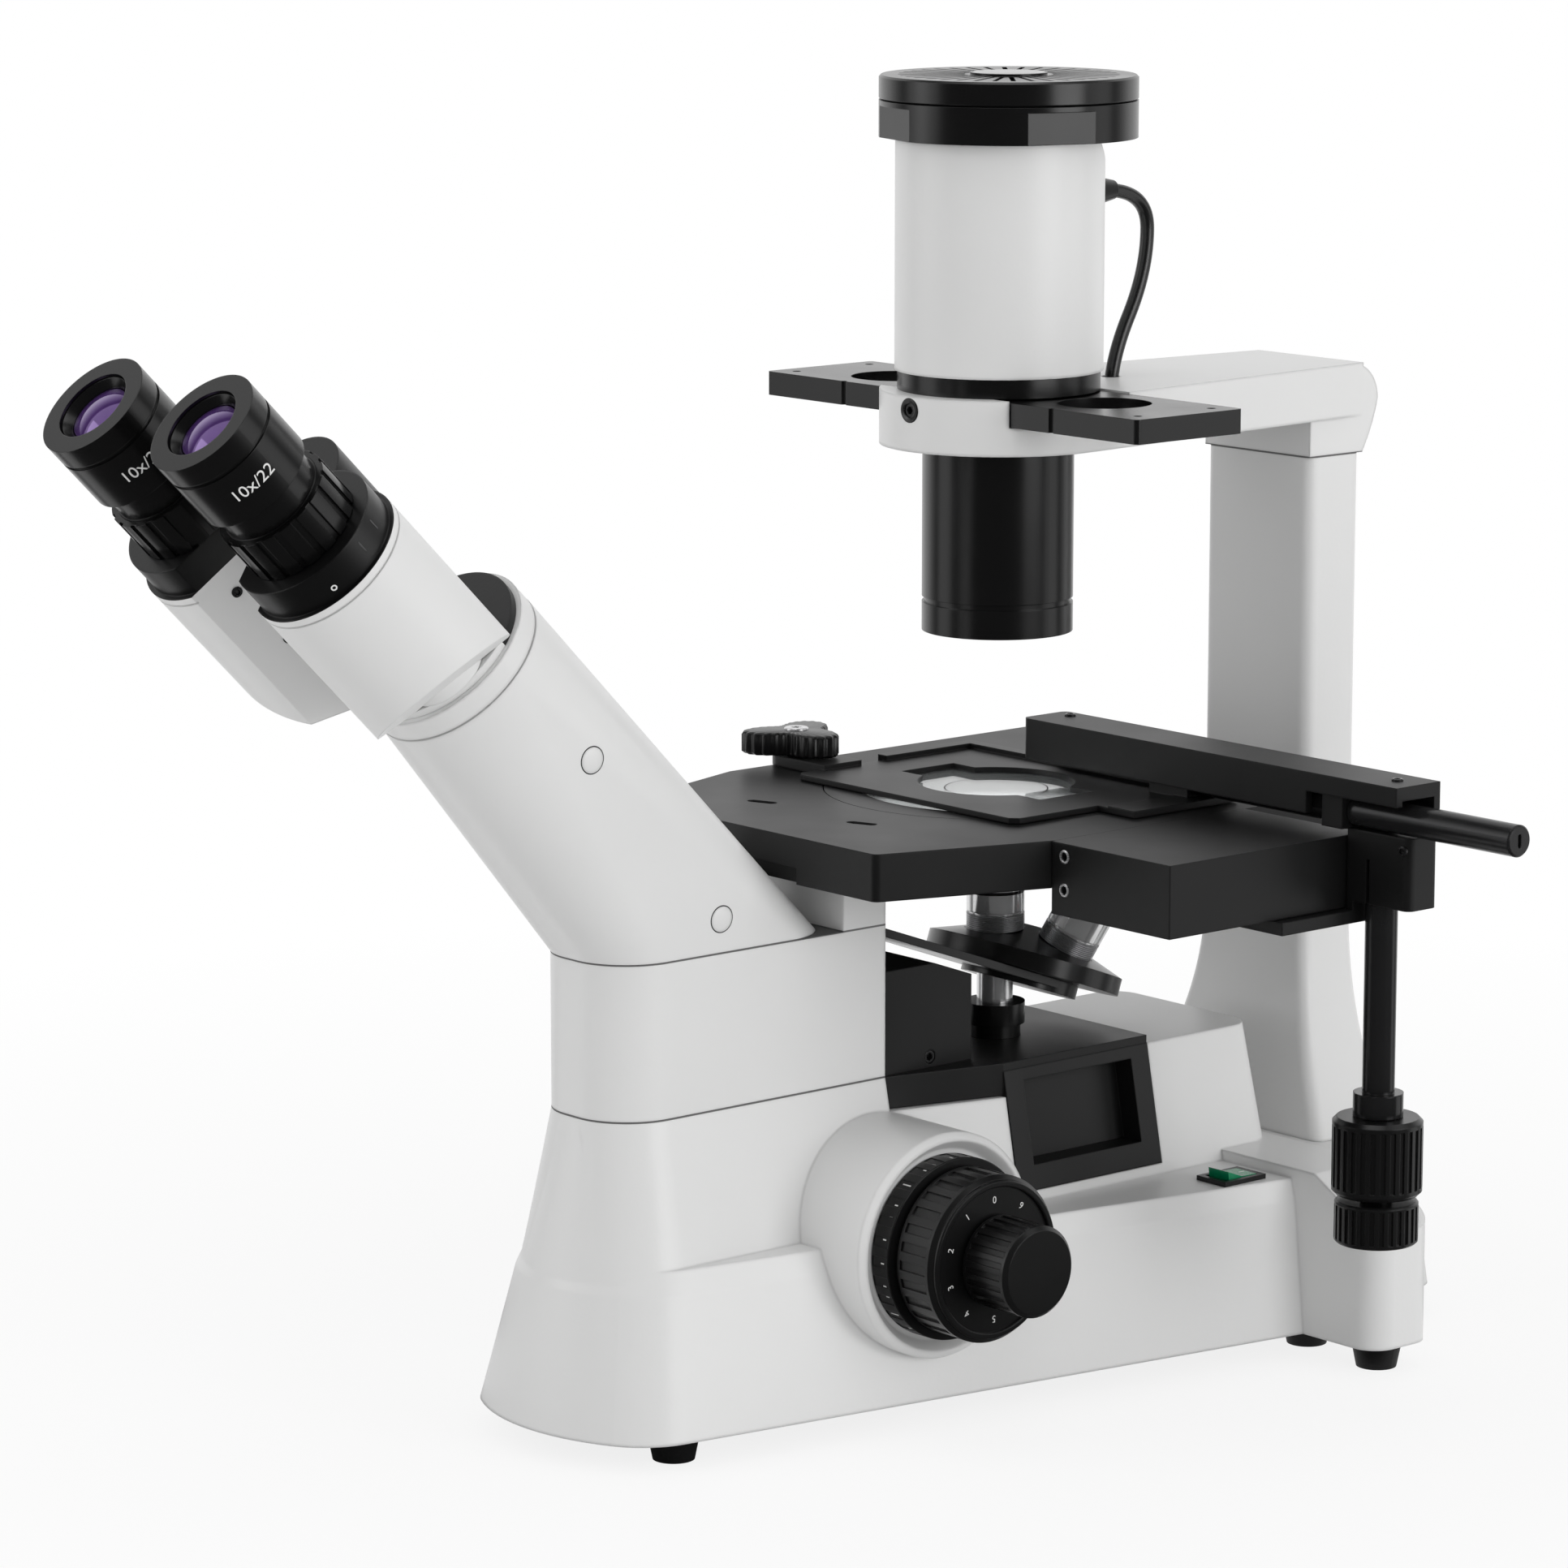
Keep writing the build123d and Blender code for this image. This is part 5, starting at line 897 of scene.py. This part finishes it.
# %% [markdown]
# Warm air leaves the lamp house through slots in its lid. A pale baffle lies under them, so the
# slots look light between their black bars, and a pale disc covers the lid's hub. Both are turned
# shapes that follow the lid's own box.

# %% Lid of the lamp house
low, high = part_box("vent_lid")
lid_top = high[2]
baffle_top = lid_top - 0.0049
lid_centre = Vector(((low[0] + high[0]) / 2, (low[1] + high[1]) / 2, 0.0))
lid_silver = turned("lid_silver", lid_centre, (0, 0, 1), (0.66, 0.66, 0.66), 0.34, 0.0009)
hub = [(0.0132, -0.0004), (0.0132, -0.0001), (0.0128, 0.0001), (0.0, 0.0001)]
hub = [(radius, lid_top + rise) for radius, rise in hub]
baffle = [(0.0145, -0.0006), (0.0145, 0.0), (0.0385, 0.0), (0.0392, -0.0006)]
baffle = [(radius, baffle_top + rise) for radius, rise in baffle]
axes = Matrix.Translation(lid_centre)
piece("lid_hub_disc", lathe(hub, 48), lid_silver, "frame", axes)
piece("vent_baffle", lathe(baffle, 64, True), lid_silver, "frame", axes)
print("lid", [round(v, 4) for v in low], [round(v, 4) for v in high])

# %% [markdown]
# Small screws: two in the left eyepiece housing, two in the top of the rail and one in its end
# block. Their heads stand a little proud and have a hexagon socket, so the inner rings of the
# turned profile are pulled in to six flats. The screws in the arm and the drive housing are solids
# already, and only get a ring round them.

# %% Small screws
def hexagon(angle):
    """Share of the corner radius at an angle, for six flats."""
    return cos(pi / 6) / cos((angle + pi / 6) % (pi / 3) - pi / 6)


def socket_head(radius):
    """A low screw head with a hexagon socket."""
    foot, rim, top, bed = -0.0005, 0.0005, 0.0008, 0.0001
    mouth = 0.55 * radius
    head = lathe([(radius, foot), (radius, rim), (0.85 * radius, top), (mouth, top)], 36)
    join(head, lathe([(mouth, top), (0.52 * radius, bed), (0.0, bed)], 36, form=hexagon))
    return head


leftward, downward, backward = (-1, 0, 0), (0, 0, -1), (0, 1, 0)
small_screws = [
    ("housing_screw_upper", "left_cheek", (0.05, -0.3284, 0.3152), leftward, 0.0019, "left_ocular"),
    ("housing_screw_lower", "left_cheek", (0.05, -0.3082, 0.2978), leftward, 0.0019, "left_ocular"),
    ("rail_screw_left", "x_rail", (-0.0031, 0.0400, 0.4), downward, 0.0021, "y_carriage"),
    ("rail_screw_right", "x_rail", (0.1695, 0.0353, 0.4), downward, 0.0021, "y_carriage"),
    ("end_block_screw", "stage_carriage", (0.1770, -0.3, 0.2105), backward, 0.0019, "y_carriage"),
]
for name, node, start, aim, radius, body in small_screws:
    axes = stand(*touch(node, start, aim), (0, 0, 1))
    piece(name, socket_head(radius), blackened_steel, body, axes)

seat_z, seat_beside = 0.355, 0.0048
seat = [
    (0.0025, -0.0006), (0.0025, 0.0003), (0.0028, 0.0005), (0.0043, 0.0005),
    (0.0046, 0.0002), (0.0046, -0.0006),
]
place = touch("lamp_arm", (seat_beside, -far_off, seat_z), backward)[0]
axes = stand((0, place.y, seat_z), (0, -1, 0))
piece("arm_screw_seat", lathe(seat, 40, True), black_anodised, "frame", axes)

drive_x, drive_beside = 0.0958, 0.0034
drive_rim = [
    (0.0016, -0.0005), (0.0016, 0.0003), (0.0019, 0.0004), (0.0024, 0.0002), (0.0025, -0.0005),
]
for label, z in (("lower", 0.1953), ("upper", 0.2073)):
    place = touch("drive_housing", (drive_x + drive_beside, -far_off, z), backward)[0]
    axes = stand((drive_x, place.y, z), (0, -1, 0))
    ring = lathe(drive_rim, 32, True)
    piece(f"drive_screw_{label}_rim", ring, clamp_steel, "frame", axes)
print(len(small_screws), "small screws and three rings")

# %% [markdown]
# The lamp switch shows I for on and O for off, and the dimmer knob has a pointer line. Both are
# moulded marks filled with white, so they are made like the engraved numbers.

# %% Switch marks and pointer
rocker_x, dimmer_x, switch_y = 0.070, -0.066, 0.055
for name, word, shift in (("rocker_on", "I", 0.0050), ("rocker_off", "O", -0.0050)):
    place, facing = touch("rocker", (rocker_x, switch_y + shift, far_off), downward)
    axes = stand(place + facing * ink_thick / 2, facing, (1, 0, 0))
    piece(name, letters(word, 0.0042), ink, "power_rocker", axes)
place, facing = touch("brightness_knob", (dimmer_x, switch_y - 0.005, far_off), downward)
pointer = plates([(0.0, 0.0, 0.0009, 0.0060)])
axes = stand(place, facing, (1, 0, 0))
piece("dimmer_pointer", pointer, ink, "dimmer", axes)
print("switch marks, and the pointer at height", round(place.z, 4))

# %% [markdown]
# Every objective ends in a tiny front lens, seen through the stage opening. It is a dome like the
# eye lens, only a few millimetres wide, set in the recess of the nose.

# %% Front lenses
front_radius, front_rise, front_foot = 0.0029, 0.0007, -0.0004
for node, (turn, *_) in objective_bands.items():
    foot, axis = objective_line(turn)
    axes = stand(touch(node, foot + axis * 0.1, -axis)[0], axis)
    lens = lathe(dome(front_radius, front_rise, front_foot), 24)
    piece(f"{node}_front", lens, eye_coating, "turret", axes)
print(len(objective_bands), "front lenses")
